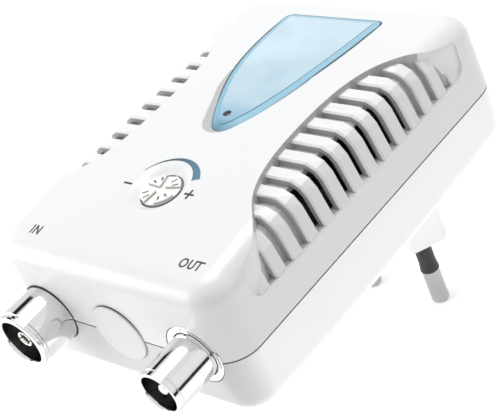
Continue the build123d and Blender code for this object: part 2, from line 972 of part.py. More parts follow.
gain_rotor.part.label = "gain_rotor"
export_step(gain_rotor.part, "parts/gain_rotor.step")

with BuildPart() as gain_pot:
    with BuildSketch(Plane((0, dial_y, board_top))):
        RectangleRounded(pot_width, pot_width, pot_corner)
    extrude(amount=pot_height)
    with BuildSketch(Plane((0, dial_y, board_top))):
        Circle(pot_bush)
    extrude(amount=pot_height + pot_bush_height)
    with BuildSketch(Plane((0, dial_y, board_top + stem_end_lift / 2))):
        Circle(rotor_stem + rotor_running_gap)
    extrude(amount=pot_height + pot_bush_height, mode=Mode.SUBTRACT)

gain_pot.part.label = "gain_pot"
export_step(gain_pot.part, "parts/gain_pot.step")

# Circuit board
board_y = front_y + board_from_front + board_length / 2
with BuildPart() as circuit_board:
    with BuildSketch(Plane((0, board_y, board_under))):
        RectangleRounded(board_width, board_length, board_corner)
    extrude(amount=board_thickness)
    with BuildSketch(Plane((0, 0, board_under))):
        with Locations(*post_places):
            Circle(post_screw_shank + fit_gap)
        with Locations(*[(side * pin_spread / 2, 0) for side in (-1, 1)]):
            Rectangle(strap_width + fit_gap, strap_thickness + fit_gap)
    extrude(amount=board_thickness, mode=Mode.SUBTRACT)

circuit_board.part.label = "circuit_board"
export_step(circuit_board.part, "parts/circuit_board.step")

# Screening can over the amplifier stage
with BuildPart() as shield_can:
    with BuildSketch(Plane((0, can_front_y + can_length / 2, board_top))):
        RectangleRounded(can_width, can_length, can_edge)
    extrude(amount=can_height)
    with BuildSketch(Plane((0, can_front_y + can_length / 2, board_top))):
        Rectangle(can_width - 2 * can_wall, can_length - 2 * can_wall)
    extrude(amount=can_height - can_wall, mode=Mode.SUBTRACT)
    with BuildSketch(Plane((0, dial_y, board_top))):
        Circle(pot_bush)
    extrude(amount=can_height, mode=Mode.SUBTRACT)
    for x in (input_x, output_x):
        with BuildSketch(facing_rear(x, can_front_y, socket_z)):
            Circle(lead_hole)
        extrude(amount=can_wall, mode=Mode.SUBTRACT)

shield_can.part.label = "shield_can"
export_step(shield_can.part, "parts/shield_can.step")

# Mains transformer: laminated core with two windows, and the wound bobbin on its middle limb
transformer_y = front_y + transformer_from_front
window_x = (core_width / 2 - core_limb) - core_window_width / 2
window_z = board_top + core_height / 2
limb_width = 2 * (window_x - core_window_width / 2)
with BuildPart() as transformer_core:
    with BuildSketch(Plane((0, transformer_y, board_top))):
        Rectangle(core_width, core_length)
    extrude(amount=core_height)
    with BuildSketch(facing_rear(0, transformer_y, window_z)):
        with Locations((-window_x, 0), (window_x, 0)):
            Rectangle(core_window_width, core_window_height)
    extrude(amount=core_length, both=True, mode=Mode.SUBTRACT)

transformer_core.part.label = "transformer_core"
export_step(transformer_core.part, "parts/transformer_core.step")

bobbin_width = limb_width + 2 * core_window_width - 2 * fit_gap
with BuildPart() as transformer_bobbin:
    bobbin_height = core_window_height - fit_gap
    bobbin_foot = window_z - core_window_height / 2
    with BuildSketch(Plane((0, transformer_y, bobbin_foot))):
        Rectangle(bobbin_width, bobbin_length)
    extrude(amount=bobbin_cheek)
    with BuildSketch(Plane((0, transformer_y, bobbin_foot + bobbin_height - bobbin_cheek))):
        Rectangle(bobbin_width, bobbin_length)
    extrude(amount=bobbin_cheek)
    with BuildSketch(Plane((0, transformer_y, bobbin_foot))):
        Rectangle(bobbin_width - 2 * winding_inset, bobbin_length - 2 * winding_inset)
    extrude(amount=bobbin_height)
    with BuildSketch(Plane((0, transformer_y, bobbin_foot))):
        Rectangle(limb_width + 2 * fit_gap, core_length + 2 * fit_gap)
    extrude(amount=bobbin_height, mode=Mode.SUBTRACT)

transformer_bobbin.part.label = "transformer_bobbin"
export_step(transformer_bobbin.part, "parts/transformer_bobbin.step")

# Reservoir capacitor with its rolled groove
capacitor_place = (capacitor_x, front_y + capacitor_from_front, board_top)
with BuildPart() as reservoir_capacitor:
    with BuildSketch(Plane(capacitor_place)):
        Circle(capacitor_radius)
    extrude(amount=capacitor_height)
    chamfer(reservoir_capacitor.faces().sort_by(Axis.Z)[-1].edges(), capacitor_edge)
    groove_z = board_top + capacitor_groove_height
    with BuildSketch(Plane((capacitor_place[0], capacitor_place[1], groove_z))):
        Circle(capacitor_radius)
        Circle(capacitor_radius - capacitor_groove, mode=Mode.SUBTRACT)
    extrude(amount=2 * capacitor_groove, mode=Mode.SUBTRACT)

reservoir_capacitor.part.label = "reservoir_capacitor"
export_step(reservoir_capacitor.part, "parts/reservoir_capacitor.step")

# Rectifier diodes lie on the board, each with its two bent wires
diode_reach = diode_length / 2 + diode_wire
with BuildPart() as rectifier_diodes:
    for i in range(diode_count):
        y = front_y + diode_from_front + diode_pitch * i
        z = board_top + diode_radius
        with BuildSketch(Plane((diode_x, y, z), z_dir=(1, 0, 0))):
            Circle(diode_radius)
        extrude(amount=diode_length / 2, both=True)
        with BuildSketch(Plane((diode_x, y, z), z_dir=(1, 0, 0))):
            Rectangle(2 * wire_radius, 2 * wire_radius)
        extrude(amount=diode_reach + wire_radius, both=True)
        for side in (-1, 1):
            with BuildSketch(Plane((diode_x + side * diode_reach, y, board_top))):
                Rectangle(2 * wire_radius, 2 * wire_radius)
            extrude(amount=diode_radius)

rectifier_diodes.part.label = "rectifier_diodes"
export_step(rectifier_diodes.part, "parts/rectifier_diodes.step")

# Voltage regulator standing on the board with its cooling tab
with BuildPart() as voltage_regulator:
    place = Plane((regulator_x, front_y + regulator_from_front, board_top))
    with BuildSketch(place):
        Rectangle(regulator_width, regulator_thickness, align=(Align.CENTER, Align.MAX))
    extrude(amount=regulator_height)
    with BuildSketch(place):
        Rectangle(regulator_width, regulator_tab, align=(Align.CENTER, Align.MIN))
    extrude(amount=regulator_tab_height)

voltage_regulator.part.label = "voltage_regulator"
export_step(voltage_regulator.part, "parts/voltage_regulator.step")

# Mains fuse with its end caps
with BuildPart() as mains_fuse:
    fuse_z = board_top + fuse_radius
    with BuildSketch(facing_rear(fuse_x, front_y + fuse_from_front, fuse_z)):
        Circle(fuse_radius - fit_gap)
    extrude(amount=fuse_length / 2, both=True)
    for side in (-1, 1):
        cap_y = front_y + fuse_from_front + side * (fuse_length - fuse_cap) / 2
        with BuildSketch(facing_rear(fuse_x, cap_y, fuse_z)):
            Circle(fuse_radius)
        extrude(amount=fuse_cap / 2, both=True)

mains_fuse.part.label = "mains_fuse"
export_step(mains_fuse.part, "parts/mains_fuse.step")

# Amplifier chip with its legs
with BuildPart() as amplifier_chip:
    chip_y = front_y + chip_from_front
    with BuildSketch(Plane((0, chip_y, board_top + leg_thickness))):
        Rectangle(chip_width, chip_length)
    extrude(amount=chip_height)
    with BuildSketch(Plane((0, chip_y, board_top))):
        with GridLocations(leg_pitch, chip_length + leg_reach, leg_count, 2):
            Rectangle(leg_width, 2 * leg_reach)
    extrude(amount=2 * leg_thickness)

amplifier_chip.part.label = "amplifier_chip"
export_step(amplifier_chip.part, "parts/amplifier_chip.step")

# Two-hole ferrite of the input balun
with BuildPart() as balun_core:
    balun_y = front_y + balun_from_front
    with BuildSketch(Plane((balun_x, balun_y, board_top))):
        Rectangle(balun_width, balun_length)
    extrude(amount=balun_height)
    with BuildSketch(facing_rear(balun_x, balun_y, board_top + balun_height / 2)):
        with Locations((-balun_width / 4, 0), (balun_width / 4, 0)):
            Circle(balun_hole)
    extrude(amount=balun_length, both=True, mode=Mode.SUBTRACT)

balun_core.part.label = "balun_core"
export_step(balun_core.part, "parts/balun_core.step")

# Indicator lamp on its two long legs, close under the lens
lamp_top = crown_z - lens_sink - lens_thickness - fit_gap
with BuildPart() as power_led:
    with BuildSketch(Plane((led_x, led_y, lamp_top), z_dir=(0, 0, -1))):
        Circle(led_radius)
    extrude(amount=led_body)
    chamfer(power_led.faces().sort_by(Axis.Z)[-1].edges(), led_bevel)
    with BuildSketch(Plane((led_x, led_y, lamp_top - led_body), z_dir=(0, 0, -1))):
        Circle(led_flange)
    extrude(amount=led_flange_height)
    with BuildSketch(Plane((led_x, led_y, board_top))):
        with Locations((-led_leg_spread / 2, 0), (led_leg_spread / 2, 0)):
            Circle(led_leg_radius)
    extrude(amount=lamp_top - led_body - led_flange_height - board_top)

power_led.part.label = "power_led"
export_step(power_led.part, "parts/power_led.step")


def round_screw(shank, head, head_height, length):
    # Round-headed screw with a cross recess, the seat of its head at zero and its shank below
    with BuildPart() as screw:
        with BuildSketch(Plane.XY):
            Circle(head)
        extrude(amount=head_height)
        chamfer(screw.faces().sort_by(Axis.Z)[-1].edges(), screw_head_edge)
        with BuildSketch(Plane.XY.offset(head_height)):
            Rectangle(screw_drive_length, screw_drive_width)
            Rectangle(screw_drive_width, screw_drive_length)
        extrude(amount=-screw_drive_depth, mode=Mode.SUBTRACT)
        with BuildSketch(Plane.XY):
            Circle(shank)
        extrude(amount=-length)
    return screw.part


# Four long screws join base and cover from below, four short ones hold the board
shank_length = screw_seat_below_seam + screw_grip
with BuildPart() as housing_screws:
    with Locations(*[Location((x, y, seat_z), (180, 0, 0)) for x, y in housing_screw_places]):
        add(round_screw(screw_shank, screw_head, screw_head_height, shank_length))

housing_screws.part.label = "housing_screws"
export_step(housing_screws.part, "parts/housing_screws.step")

with BuildPart() as board_screws:
    with Locations(*[(x, y, board_top) for x, y in post_places]):
        add(round_screw(post_screw_shank, post_screw_head, post_screw_head_height, post_screw_length))

board_screws.part.label = "board_screws"
export_step(board_screws.part, "parts/board_screws.step")
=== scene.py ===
import math

import bmesh
import bpy
from mathutils import Matrix, Vector


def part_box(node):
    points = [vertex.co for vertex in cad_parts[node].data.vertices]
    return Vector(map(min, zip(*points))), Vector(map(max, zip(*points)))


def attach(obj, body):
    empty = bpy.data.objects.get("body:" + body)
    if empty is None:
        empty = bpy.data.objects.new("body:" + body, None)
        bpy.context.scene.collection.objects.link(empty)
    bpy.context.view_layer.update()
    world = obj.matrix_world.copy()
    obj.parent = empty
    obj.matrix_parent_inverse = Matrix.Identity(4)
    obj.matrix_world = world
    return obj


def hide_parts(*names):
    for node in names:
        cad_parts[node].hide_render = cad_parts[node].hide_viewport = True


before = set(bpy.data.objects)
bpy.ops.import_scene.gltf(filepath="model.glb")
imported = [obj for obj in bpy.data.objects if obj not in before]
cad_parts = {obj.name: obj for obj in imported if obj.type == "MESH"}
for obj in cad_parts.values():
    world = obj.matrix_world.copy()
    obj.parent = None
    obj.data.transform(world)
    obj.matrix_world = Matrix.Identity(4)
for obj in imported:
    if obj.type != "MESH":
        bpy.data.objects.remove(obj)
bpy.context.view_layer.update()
print("frame loaded:", len(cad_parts), "nodes")

# Places shared by the pieces, in metres: origin at the plug face, -Y to the sockets
layout = {
    "frontY": -0.070,
    "seamZ": 0.032,
    "crownZ": 0.0502,
    "crownY": -0.0255,
    "crownRadius": 0.363,
    "dialY": -0.0481,
    "socketZ": 0.03232,
    "inputX": -0.01946,
    "outputX": 0.01946,
    "pinX": 0.0095,
    "floorZ": -0.019,
}


def crownAt(y):
    # Height of the crowned top at this place along the length
    r = layout["crownRadius"]
    return layout["crownZ"] - r + math.sqrt(r * r - (y - layout["crownY"]) ** 2)


def onTop(x, y, lift=0.0):
    # Point over the crowned top in metres, from millimetres off the middle, the front and the top
    place = layout["frontY"] + y / 1000
    return (x / 1000, place, crownAt(place) + lift / 1000)


def addObject(name, data):
    # New object in the scene
    thing = bpy.data.objects.new(name, data)
    bpy.context.scene.collection.objects.link(thing)
    return thing


# Camera of the photograph
view = {
    "lens": 107.127,
    "sensor": 36,
    "place": (0.1964715, -0.1792862, 0.1888687),
    "turn": (54.8221941, 20.1237406, 39.3392340),
    "clipStart": 0.01,
}
camera = addObject("camera", bpy.data.cameras.new("camera"))
camera.data.sensor_width = view["sensor"]
camera.data.lens = view["lens"]
camera.data.clip_start = view["clipStart"]
camera.location = view["place"]
camera.rotation_euler = [math.radians(v) for v in view["turn"]]
bpy.context.scene.camera = camera

# Soft studio: white world that bright metal sees stronger, big overhead light, pale glowing floor.
# Lights have name, place, target, size and power; cards have name, place, target, width and length
studio = {
    "worldColor": "#ffffff",
    "worldStrength": 0.42,
    "mirroredStrength": 1.0,
    "lights": [
        ("overheadLight", (-0.02, 0.08, 0.55), (0.0, 0.0, 0.02), 0.35, 2.5),
        ("frontLight", (-0.45, -0.50, 0.25), (0.0, -0.05, 0.03), 0.3, 1.1),
        ("sideLight", (0.55, 0.05, 0.30), (0.0, 0.0, 0.02), 0.35, 0.03),
        ("cornerLight", (-0.10, -0.14, 0.05), (-0.02, -0.07, 0.04), 0.06, 0.035),
    ],
    "floorSize": 6.0,
    "floorColor": "#f7f7f7",
    "floorGlow": 0.33,
    "cards": [
        ("upperCard", (-0.21, 0.04, 0.24), (0.0, -0.08, 0.03), 0.10, 0.5),
        ("lowerCard", (0.20, 0.04, 0.005), (0.0, -0.08, 0.02), 0.05, 0.5),
    ],
}


def toLinear(code):
    # sRGB hex to linear colour
    parts = [int(code[i : i + 2], 16) / 255 for i in (1, 3, 5)]
    return tuple(v / 12.92 if v <= 0.04045 else ((v + 0.055) / 1.055) ** 2.4 for v in parts) + (1.0,)


def addNode(tree, kind, settings=None, links=None):
    # One node with its settings; links maps an input to the output that feeds it
    node = tree.nodes.new(kind)
    for key, value in (settings or {}).items():
        if key in node.inputs:
            node.inputs[key].default_value = value
        else:
            setattr(node, key, value)
    for key, source in (links or {}).items():
        tree.links.new(source, node.inputs[key])
    return node


world = bpy.data.worlds.new("studioWorld")
world.use_nodes = True
background = world.node_tree.nodes["Background"]
background.inputs["Color"].default_value = toLinear(studio["worldColor"])
rays = addNode(world.node_tree, "ShaderNodeLightPath")
share = addNode(
    world.node_tree,
    "ShaderNodeMapRange",
    {"To Min": studio["worldStrength"], "To Max": studio["mirroredStrength"]},
    {"Value": rays.outputs["Is Glossy Ray"]},
)
world.node_tree.links.new(share.outputs["Result"], background.inputs["Strength"])
bpy.context.scene.world = world
bpy.context.scene.view_settings.view_transform = "Standard"
for name, place, target, size, power in studio["lights"]:
    light = bpy.data.lights.new(name, "AREA")
    light.size = size
    light.energy = power
    lightObject = addObject(name, light)
    lightObject.location = place
    lightObject.rotation_euler = (Vector(target) - Vector(place)).to_track_quat("-Z", "Y").to_euler()


def newMaterial(name, color, settings):
    # Principled material; returns it with its tree and shader
    material = bpy.data.materials.new(name)
    material.use_nodes = True
    shader = material.node_tree.nodes["Principled BSDF"]
    shader.inputs["Base Color"].default_value = toLinear(color)
    for key, value in settings.items():
        shader.inputs[key].default_value = value
    return material, material.node_tree, shader


def objectPlace(tree):
    return addNode(tree, "ShaderNodeTexCoord").outputs["Object"]


def addTexture(tree, kind, settings, place=None):
    # Texture node on the part's own coordinates, or on those given
    return addNode(tree, "ShaderNodeTex" + kind, settings, {"Vector": place or objectPlace(tree)})


def addTone(tree, shader, tone):
    tree.links.new(tone, shader.inputs["Base Color"])


def addGrain(tree, shader, sizeMm, depthMm, strength):
    # Fine surface relief; returns the pattern
    noise = addTexture(tree, "Noise", {"Scale": 1000.0 / sizeMm, "Detail": 2.0})
    bump = addNode(
        tree,
        "ShaderNodeBump",
        {"Strength": strength, "Distance": depthMm / 1000.0},
        {"Height": noise.outputs["Fac"]},
    )
    tree.links.new(bump.outputs["Normal"], shader.inputs["Normal"])
    return noise.outputs["Fac"]


def addSpread(tree, shader, pattern, low, high):
    # Lets a pattern move the roughness between two limits
    spread = addNode(tree, "ShaderNodeMapRange", {"To Min": low, "To Max": high}, {"Value": pattern})
    tree.links.new(spread.outputs["Result"], shader.inputs["Roughness"])


def mixColors(tree, pattern, low, high, start=0.0, end=1.0):
    # Two-stop colour ramp driven by a pattern
    ramp = addNode(tree, "ShaderNodeValToRGB", links={"Fac": pattern})
    for stop, color, place in zip(ramp.color_ramp.elements, (low, high), (start, end)):
        stop.color = toLinear(color)
        stop.position = place
    return ramp.outputs["Color"]


def grainyTone(name, color, roughness, tones, grain=(0.3, 0.01, 0.3), ior=1.5):
    # Material with a fine relief that also shifts its tone
    material, tree, shader = newMaterial(name, color, {"Roughness": roughness, "IOR": ior})
    pattern = addGrain(tree, shader, *grain)
    addTone(tree, shader, mixColors(tree, pattern, *tones))
    return material


def grainyGloss(name, color, roughness, ior, grain, gloss):
    # Plastic with a fine relief that also shifts its roughness
    material, tree, shader = newMaterial(name, color, {"Roughness": roughness, "IOR": ior})
    addSpread(tree, shader, addGrain(tree, shader, *grain), *gloss)
    return material


def markedMetal(name, color, roughness, marks, gloss, stretch=None):
    # Metal whose fine marks, with a scale and detail, shift its roughness; stretch draws them out
    material, tree, shader = newMaterial(name, color, {"Metallic": 1.0, "Roughness": roughness})
    place = objectPlace(tree)
    if stretch:
        place = addNode(tree, "ShaderNodeMapping", {"Scale": stretch}, {"Vector": place}).outputs["Vector"]
    noise = addTexture(tree, "Noise", {"Scale": marks[0], "Detail": marks[1]}, place)
    addSpread(tree, shader, noise.outputs["Fac"], *gloss)
    return material


# The wave texture turns by this many radians in one unit
waveTurn = 20


def bandedMaterial(name, color, settings, radianMm, direction, distortion, tones):
    # Material with even bands; the wave turns by one radian in radianMm, so a band takes 6.3 of them
    material, tree, shader = newMaterial(name, color, settings)
    wave = {"Scale": 1000 / radianMm / waveTurn, "bands_direction": direction, "Distortion": distortion}
    bands = addTexture(tree, "Wave", wave)
    addTone(tree, shader, mixColors(tree, bands.outputs["Fac"], *tones))
    return material


def alongAxis(tree, axis, start, end):
    # Runs from 0 to 1 between two places along one axis of the part
    split = addNode(tree, "ShaderNodeSeparateXYZ", links={"Vector": objectPlace(tree)})
    run = addNode(
        tree, "ShaderNodeMapRange", {"From Min": start, "From Max": end}, {"Value": split.outputs[axis]}
    )
    return run.outputs["Result"]


def shadeTowardsTip(tree, tone, stops):
    # Painted shade that darkens the tone towards the dipped tip; each stop has a tone and the two places it
    # grows between
    for shadeTone, start, end in stops:
        blend = addNode(tree, "ShaderNodeMix", {"data_type": "RGBA"})
        tree.links.new(alongAxis(tree, "Y", start, end), blend.inputs[0])
        tree.links.new(tone, blend.inputs[6])
        blend.inputs[7].default_value = toLinear(shadeTone)
        tone = blend.outputs[2]
    return tone


def flatSheet(name, wide, long, placing, paint):
    # Flat rectangle with its finish, moved to its place
    x, y = wide / 2, long / 2
    mesh = bpy.data.meshes.new(name)
    mesh.from_pydata([(-x, -y, 0), (x, -y, 0), (x, y, 0), (-x, y, 0)], [], [(0, 1, 2, 3)])
    mesh.transform(placing)
    mesh.materials.append(paint)
    return addObject(name, mesh)


# Back-lit white acrylic table: even white, with its own faint glow
floorPaint = newMaterial(
    "backlitTable",
    studio["floorColor"],
    {"Roughness": 0.9, "Emission Color": (1, 1, 1, 1), "Emission Strength": studio["floorGlow"]},
)[0]
floorPlace = Matrix.Translation((0, 0, layout["floorZ"]))
floor = flatSheet("floor", studio["floorSize"], studio["floorSize"], floorPlace, floorPaint)

# Black cards beside the part: they show only as the dark stripes in bright metal
cardPaint = newMaterial("blackFlag", "#060606", {"Roughness": 1.0})[0]
for name, place, target, wide, long in studio["cards"]:
    aim = Vector(target) - Vector(place)
    aim.y = 0
    turn = Vector((0, 0, 1)).rotation_difference(aim.normalized()).to_matrix().to_4x4()
    card = flatSheet(name, wide, long, Matrix.Translation(place) @ turn, cardPaint)
    card.visible_camera = False
    card.visible_diffuse = False
    card.visible_shadow = False
    card.visible_transmission = False
print("studio ready")

# Injection-moulded white ABS, spark-eroded tool: soft gloss and the faintest orange peel
absWhite = grainyGloss("mouldedWhiteAbs", "#dfe0e1", 0.34, 1.53, (0.9, 0.012, 0.2), (0.3, 0.38))

# ABS of the base tray: finer and more matt; its socket end is painted greyer as painted shade and its
# flanks lighter as painted light
baseShadeTones = {"end": "#cdcccb", "flank": "#fafafa", "from": -0.0695, "to": -0.064}
baseWhite = grainyGloss("mouldedBaseAbs", baseShadeTones["flank"], 0.4, 1.52, (0.35, 0.006, 0.25), (0.35, 0.45))
tree = baseWhite.node_tree
lengthwise = alongAxis(tree, "Y", baseShadeTones["from"], baseShadeTones["to"])
tone = mixColors(tree, lengthwise, baseShadeTones["end"], baseShadeTones["flank"])
addTone(tree, tree.nodes["Principled BSDF"], tone)

# The same ABS between the ribs and in the hollows: coarser spark-eroded texture, painted greyer as painted
# shade
shadedAbs = grainyTone("paintedShadeAbs", "#b4b4b2", 0.55, ("#b0b0ae", "#bababa", 0.3, 0.7), ior=1.53)

# Painted shadow: black in the parting line and in the fine gaps round the sockets, standing for the shade
# in them
shadowBlack = grainyTone("paintedShadowBlack", "#1c1c1b", 0.7, ("#181817", "#242423", 0.3, 0.7))

# The blank is moulded from the same ABS in another tool: a touch greyer and more matt
absBlank = grainyGloss("mattWhiteAbs", "#d8d8d7", 0.45, 1.53, (0.6, 0.012, 0.25), (0.4, 0.5))

# Moulded white nylon of the rotor: waxy sheen on its face; the walls of its recesses are coarser and
# painted greyer as painted shade
nylonShade = grainyTone("paintedShadeNylon", "#bcbcba", 0.5, ("#b4b4b2", "#c2c2c0", 0.3, 0.7), ior=1.53)
nylonWhite = grainyGloss("mouldedWhiteNylon", "#ebebe8", 0.42, 1.53, (0.5, 0.01, 0.2), (0.36, 0.48))

# Polished tinted acrylic: pale blue and milky with a clear gloss on top, with painted shade deepening it
# towards the dipped tip
acrylic = {
    "face": ("#b4ccdc", "#bfd5df"),
    "patchMm": 9.0,
    "border": ("#8bb4c7", "#97bdcf"),
    "faceShadeStops": [("#97bdcf", -0.0222, -0.0262), ("#5f8696", -0.0272, -0.0308)],
    "borderShadeStops": [("#7fb0c6", -0.004, -0.018), ("#5f8696", -0.0272, -0.0308)],
}
lensBlue, tree, shader = newMaterial(
    "polishedBlueAcrylic",
    acrylic["face"][1],
    {"Roughness": 0.16, "IOR": 1.49, "Coat Weight": 0.4, "Coat Roughness": 0.05},
)
patches = addTexture(tree, "Noise", {"Scale": 1000 / acrylic["patchMm"], "Detail": 1.0})
tone = mixColors(tree, patches.outputs["Fac"], *acrylic["face"], 0.35, 0.6)
addTone(tree, shader, shadeTowardsTip(tree, tone, acrylic["faceShadeStops"]))

# Frosted border of the same acrylic: deeper blue where light runs through its slope
lensBorder, tree, shader = newMaterial(
    "frostedBlueBorder", acrylic["border"][1], {"Roughness": 0.5, "IOR": 1.49}
)
tone = mixColors(tree, addGrain(tree, shader, 0.35, 0.02, 0.35), *acrylic["border"], 0.3, 0.7)
# Painted shade darkens the border towards the dipped tip
addTone(tree, shader, shadeTowardsTip(tree, tone, acrylic["borderShadeStops"]))

# Fine moulded line between face and border, darker because light escapes there
lensLine = grainyTone("dimAcrylicLine", "#6f95a5", 0.4, ("#7ba6b9", "#84afc2", 0.3, 0.7), ior=1.49)

# Sawn outer edge of the acrylic, painted dark as the shade of the gap where it stands in its seat
lensEdge = grainyTone("shadedAcrylicEdge", "#4f6f7c", 0.4, ("#4b6a77", "#5b7e8c", 0.3, 0.7), ior=1.49)

# Pad-printed inks: matt and slightly uneven, the arc runs from near black to slate blue
greyInk = grainyTone("padPrintedGreyInk", "#2b2b2a", 0.55, ("#2b2b2a", "#353433"), (0.12, 0.004, 0.3))
arcTones = {"thin": "#2c3032", "thick": "#4d7688", "from": -0.0072, "to": 0.0065}
tealInk, tree, shader = newMaterial("padPrintedTealInk", arcTones["thick"], {"Roughness": 0.55})
across = alongAxis(tree, "X", arcTones["from"], arcTones["to"])
addTone(tree, shader, mixColors(tree, across, arcTones["thin"], arcTones["thick"], 0.1, 0.9))

# Bright nickel plate on turned brass: mirror bright with the faintest turning marks
brightNickel = markedMetal("brightNickelPlate", "#dcdcdb", 0.1, (260, 3), (0.07, 0.14), (1.0, 12.0, 1.0))

# Tin-plated spring bronze of the contacts: bright, softer than the nickel
brightTin = markedMetal("brightTinPlate", "#e2e1de", 0.2, (900, 2), (0.16, 0.26))

# Nickel-plated brass pins: satin from tumbling, with fine scratches along them
pinNickel = markedMetal("tumbledNickelPin", "#b4b4b3", 0.2, (300, 3), (0.15, 0.28), (6.0, 6.0, 1.0))

# Black moulded thermoplastic: matt, lifts to dark grey in the light
blackMoulding = grainyGloss("blackThermoplastic", "#2b2a28", 0.5, 1.5, (0.4, 0.015, 0.3), (0.42, 0.6))

# Dark phenolic of the socket insulators
phenolic = grainyTone("mouldedPhenolic", "#7c7a76", 0.45, ("#6e6c68", "#8a8884"), (0.5, 0.02, 0.3))

# Diffused epoxy of the lamp nose: milky grey while it is off
lampGrain = (0.3, 0.01, 0.2)
diffusedEpoxy = grainyTone("diffusedEpoxy", "#5d6467", 0.3, ("#565d60", "#666d70"), lampGrain, 1.54)

# Stamped brass straps: yellow, rolled along their length
rolledBrass = markedMetal("rolledBrass", "#c9a45c", 0.3, (250, 2), (0.25, 0.4), (10.0, 10.0, 1.0))

# Glass-epoxy board under green solder mask: the copper plane shows as a mottled darker green
cellMm = {"mask": 3.5, "spangle": 4.0}
solderMask, tree, shader = newMaterial("greenSolderMask", "#1c6b3a", {"Roughness": 0.35})
cells = addTexture(tree, "Voronoi", {"Scale": 1000 / cellMm["mask"], "feature": "DISTANCE_TO_EDGE"})
addTone(tree, shader, mixColors(tree, cells.outputs["Distance"], "#2c8a4d", "#195e33", 0.02, 0.08))

# Tinned sheet steel of the screening can: dull spangle
tinnedSteel, tree, shader = newMaterial("tinnedSheetSteel", "#b9bbbb", {"Metallic": 1.0, "Roughness": 0.35})
cells = addTexture(tree, "Voronoi", {"Scale": 1000 / cellMm["spangle"]})
addSpread(tree, shader, cells.outputs["Distance"], 0.28, 0.45)


# Silicon-steel laminations under thin varnish, shown as broad bands
laminations = bandedMaterial(
    "varnishedLaminations",
    "#55565a",
    {"Metallic": 0.7, "Roughness": 0.45},
    0.5,
    "Y",
    0.0,
    ("#37383b", "#626469", 0.2, 0.6),
)

# Polyester tape round the winding: amber, with the layers of wire showing through as broad bands
windingTape = bandedMaterial(
    "amberPolyesterTape", "#caa13c", {"Roughness": 0.3}, 0.35, "Z", 0.4, ("#b98a2c", "#d8b350", 0.2, 0.8)
)

# PVC shrink sleeve of the capacitor: near black blue with an even gloss
shrinkSleeve = grainyGloss("shrinkSleevePvc", "#141a2b", 0.25, 1.5, (1.2, 0.02, 0.3), (0.2, 0.3))

# Glazed ceramic body of the fuse: pale and dry
fuseCeramic = grainyTone("glazedCeramic", "#d9d5c8", 0.2, ("#d2cdbf", "#dfdbd0"), (0.4, 0.01, 0.2))

# Sintered ferrite: dark grey and grainy
sinteredFerrite = grainyTone("sinteredFerrite", "#39393c", 0.6, ("#2f2f32", "#444447"), (0.2, 0.03, 0.5))

# Zinc-plated steel screws: pale blue-grey passivate
zincScrew = markedMetal("zincPlatedSteel", "#b7bcc0", 0.3, (700, 2), (0.25, 0.4))
print("materials ready")

# Finish of each solid that stays as it is
finishes = {
    "input_insulator": phenolic,
    "output_insulator": phenolic,
    "gain_pot": blackMoulding,
    "left_strap": rolledBrass,
    "right_strap": rolledBrass,
    "circuit_board": solderMask,
    "shield_can": tinnedSteel,
    "transformer_core": laminations,
    "transformer_bobbin": windingTape,
    "reservoir_capacitor": shrinkSleeve,
    "rectifier_diodes": blackMoulding,
    "voltage_regulator": blackMoulding,
    "mains_fuse": fuseCeramic,
    "amplifier_chip": blackMoulding,
    "balun_core": sinteredFerrite,
}
for node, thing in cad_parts.items():
    thing.data.materials.clear()
    thing.data.materials.append(finishes.get(node, absWhite))


def addPiece(name, mesh, material, body, nodes=()):
    # Links a finished mesh, gives it its finish and fixes it to its body
    piece = addObject(name, mesh)
    if not mesh.materials:
        mesh.materials.append(material)
    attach(piece, body)
    if nodes:
        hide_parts(*nodes)


# Angles in degrees above which an edge stays sharp, and limits of the turned pieces: the share of
# a side that a corner may take, and the radius in mm that counts as the axis
sharp = {"turned": 32, "lens": 30, "shell": 15}
turned = {"cornerShare": 0.49, "axisRadius": 1e-6}


def smoothShade(mesh, kind):
    # Smooth apart from its sharp edges
    mesh.shade_smooth()
    mesh.set_sharp_from_angle(angle=math.radians(sharp[kind]))


def meshFrom(name, bm, turnOut=True):
    # Closes a bmesh into a mesh, its faces turned outwards
    if turnOut:
        bmesh.ops.recalc_face_normals(bm, faces=bm.faces)
    mesh = bpy.data.meshes.new(name)
    bm.to_mesh(mesh)
    bm.free()
    return mesh


def settled(thing):
    # Plain mesh of an object with its modifiers worked out
    return bpy.data.meshes.new_from_object(thing.evaluated_get(bpy.context.evaluated_depsgraph_get()))


def roundCorners(points, steps):
    # Profile of (radius, place, corner radius) made into plain (radius, place) points
    out = []
    for i, (r, d, bend) in enumerate(points):
        here = Vector((r, d))
        before = Vector(points[i - 1][:2]) - here
        after = Vector(points[(i + 1) % len(points)][:2]) - here
        if bend <= 0:
            out.append((here.x, here.y))
            continue
        cut = min(bend, before.length * turned["cornerShare"], after.length * turned["cornerShare"])
        a = here + before.normalized() * cut
        b = here + after.normalized() * cut
        for k in range(steps + 1):
            t = k / steps
            p = a * (1 - t) ** 2 + here * 2 * t * (1 - t) + b * t**2
            out.append((p.x, p.y))
    return out


def spin(name, profile, place, along, facets):
    # Turned mesh: profile points in millimetres, the second one measured along the axis
    axis = Vector(along).normalized()
    side = axis.orthogonal().normalized()
    up = axis.cross(side)
    bm = bmesh.new()
    rings = []
    for r, d in profile:
        middle = Vector(place) + axis * d / 1000
        if r < turned["axisRadius"]:
            rings.append([bm.verts.new(middle)])
            continue
        ring = []
        for k in range(facets):
            a = 2 * math.pi * k / facets
            ring.append(bm.verts.new(middle + (side * math.cos(a) + up * math.sin(a)) * r / 1000))
        rings.append(ring)
    for one, two in zip(rings, rings[1:] + rings[:1]):
        if len(one) == 1 and len(two) == 1:
            continue
        for k in range(facets):
            n = (k + 1) % facets
            if len(one) == 1:
                bm.faces.new((one[0], two[k], two[n]))
            elif len(two) == 1:
                bm.faces.new((one[k], two[0], one[n]))
            else:
                bm.faces.new((one[k], two[k], two[n], one[n]))
    mesh = meshFrom(name, bm)
    smoothShade(mesh, "turned")
    return mesh


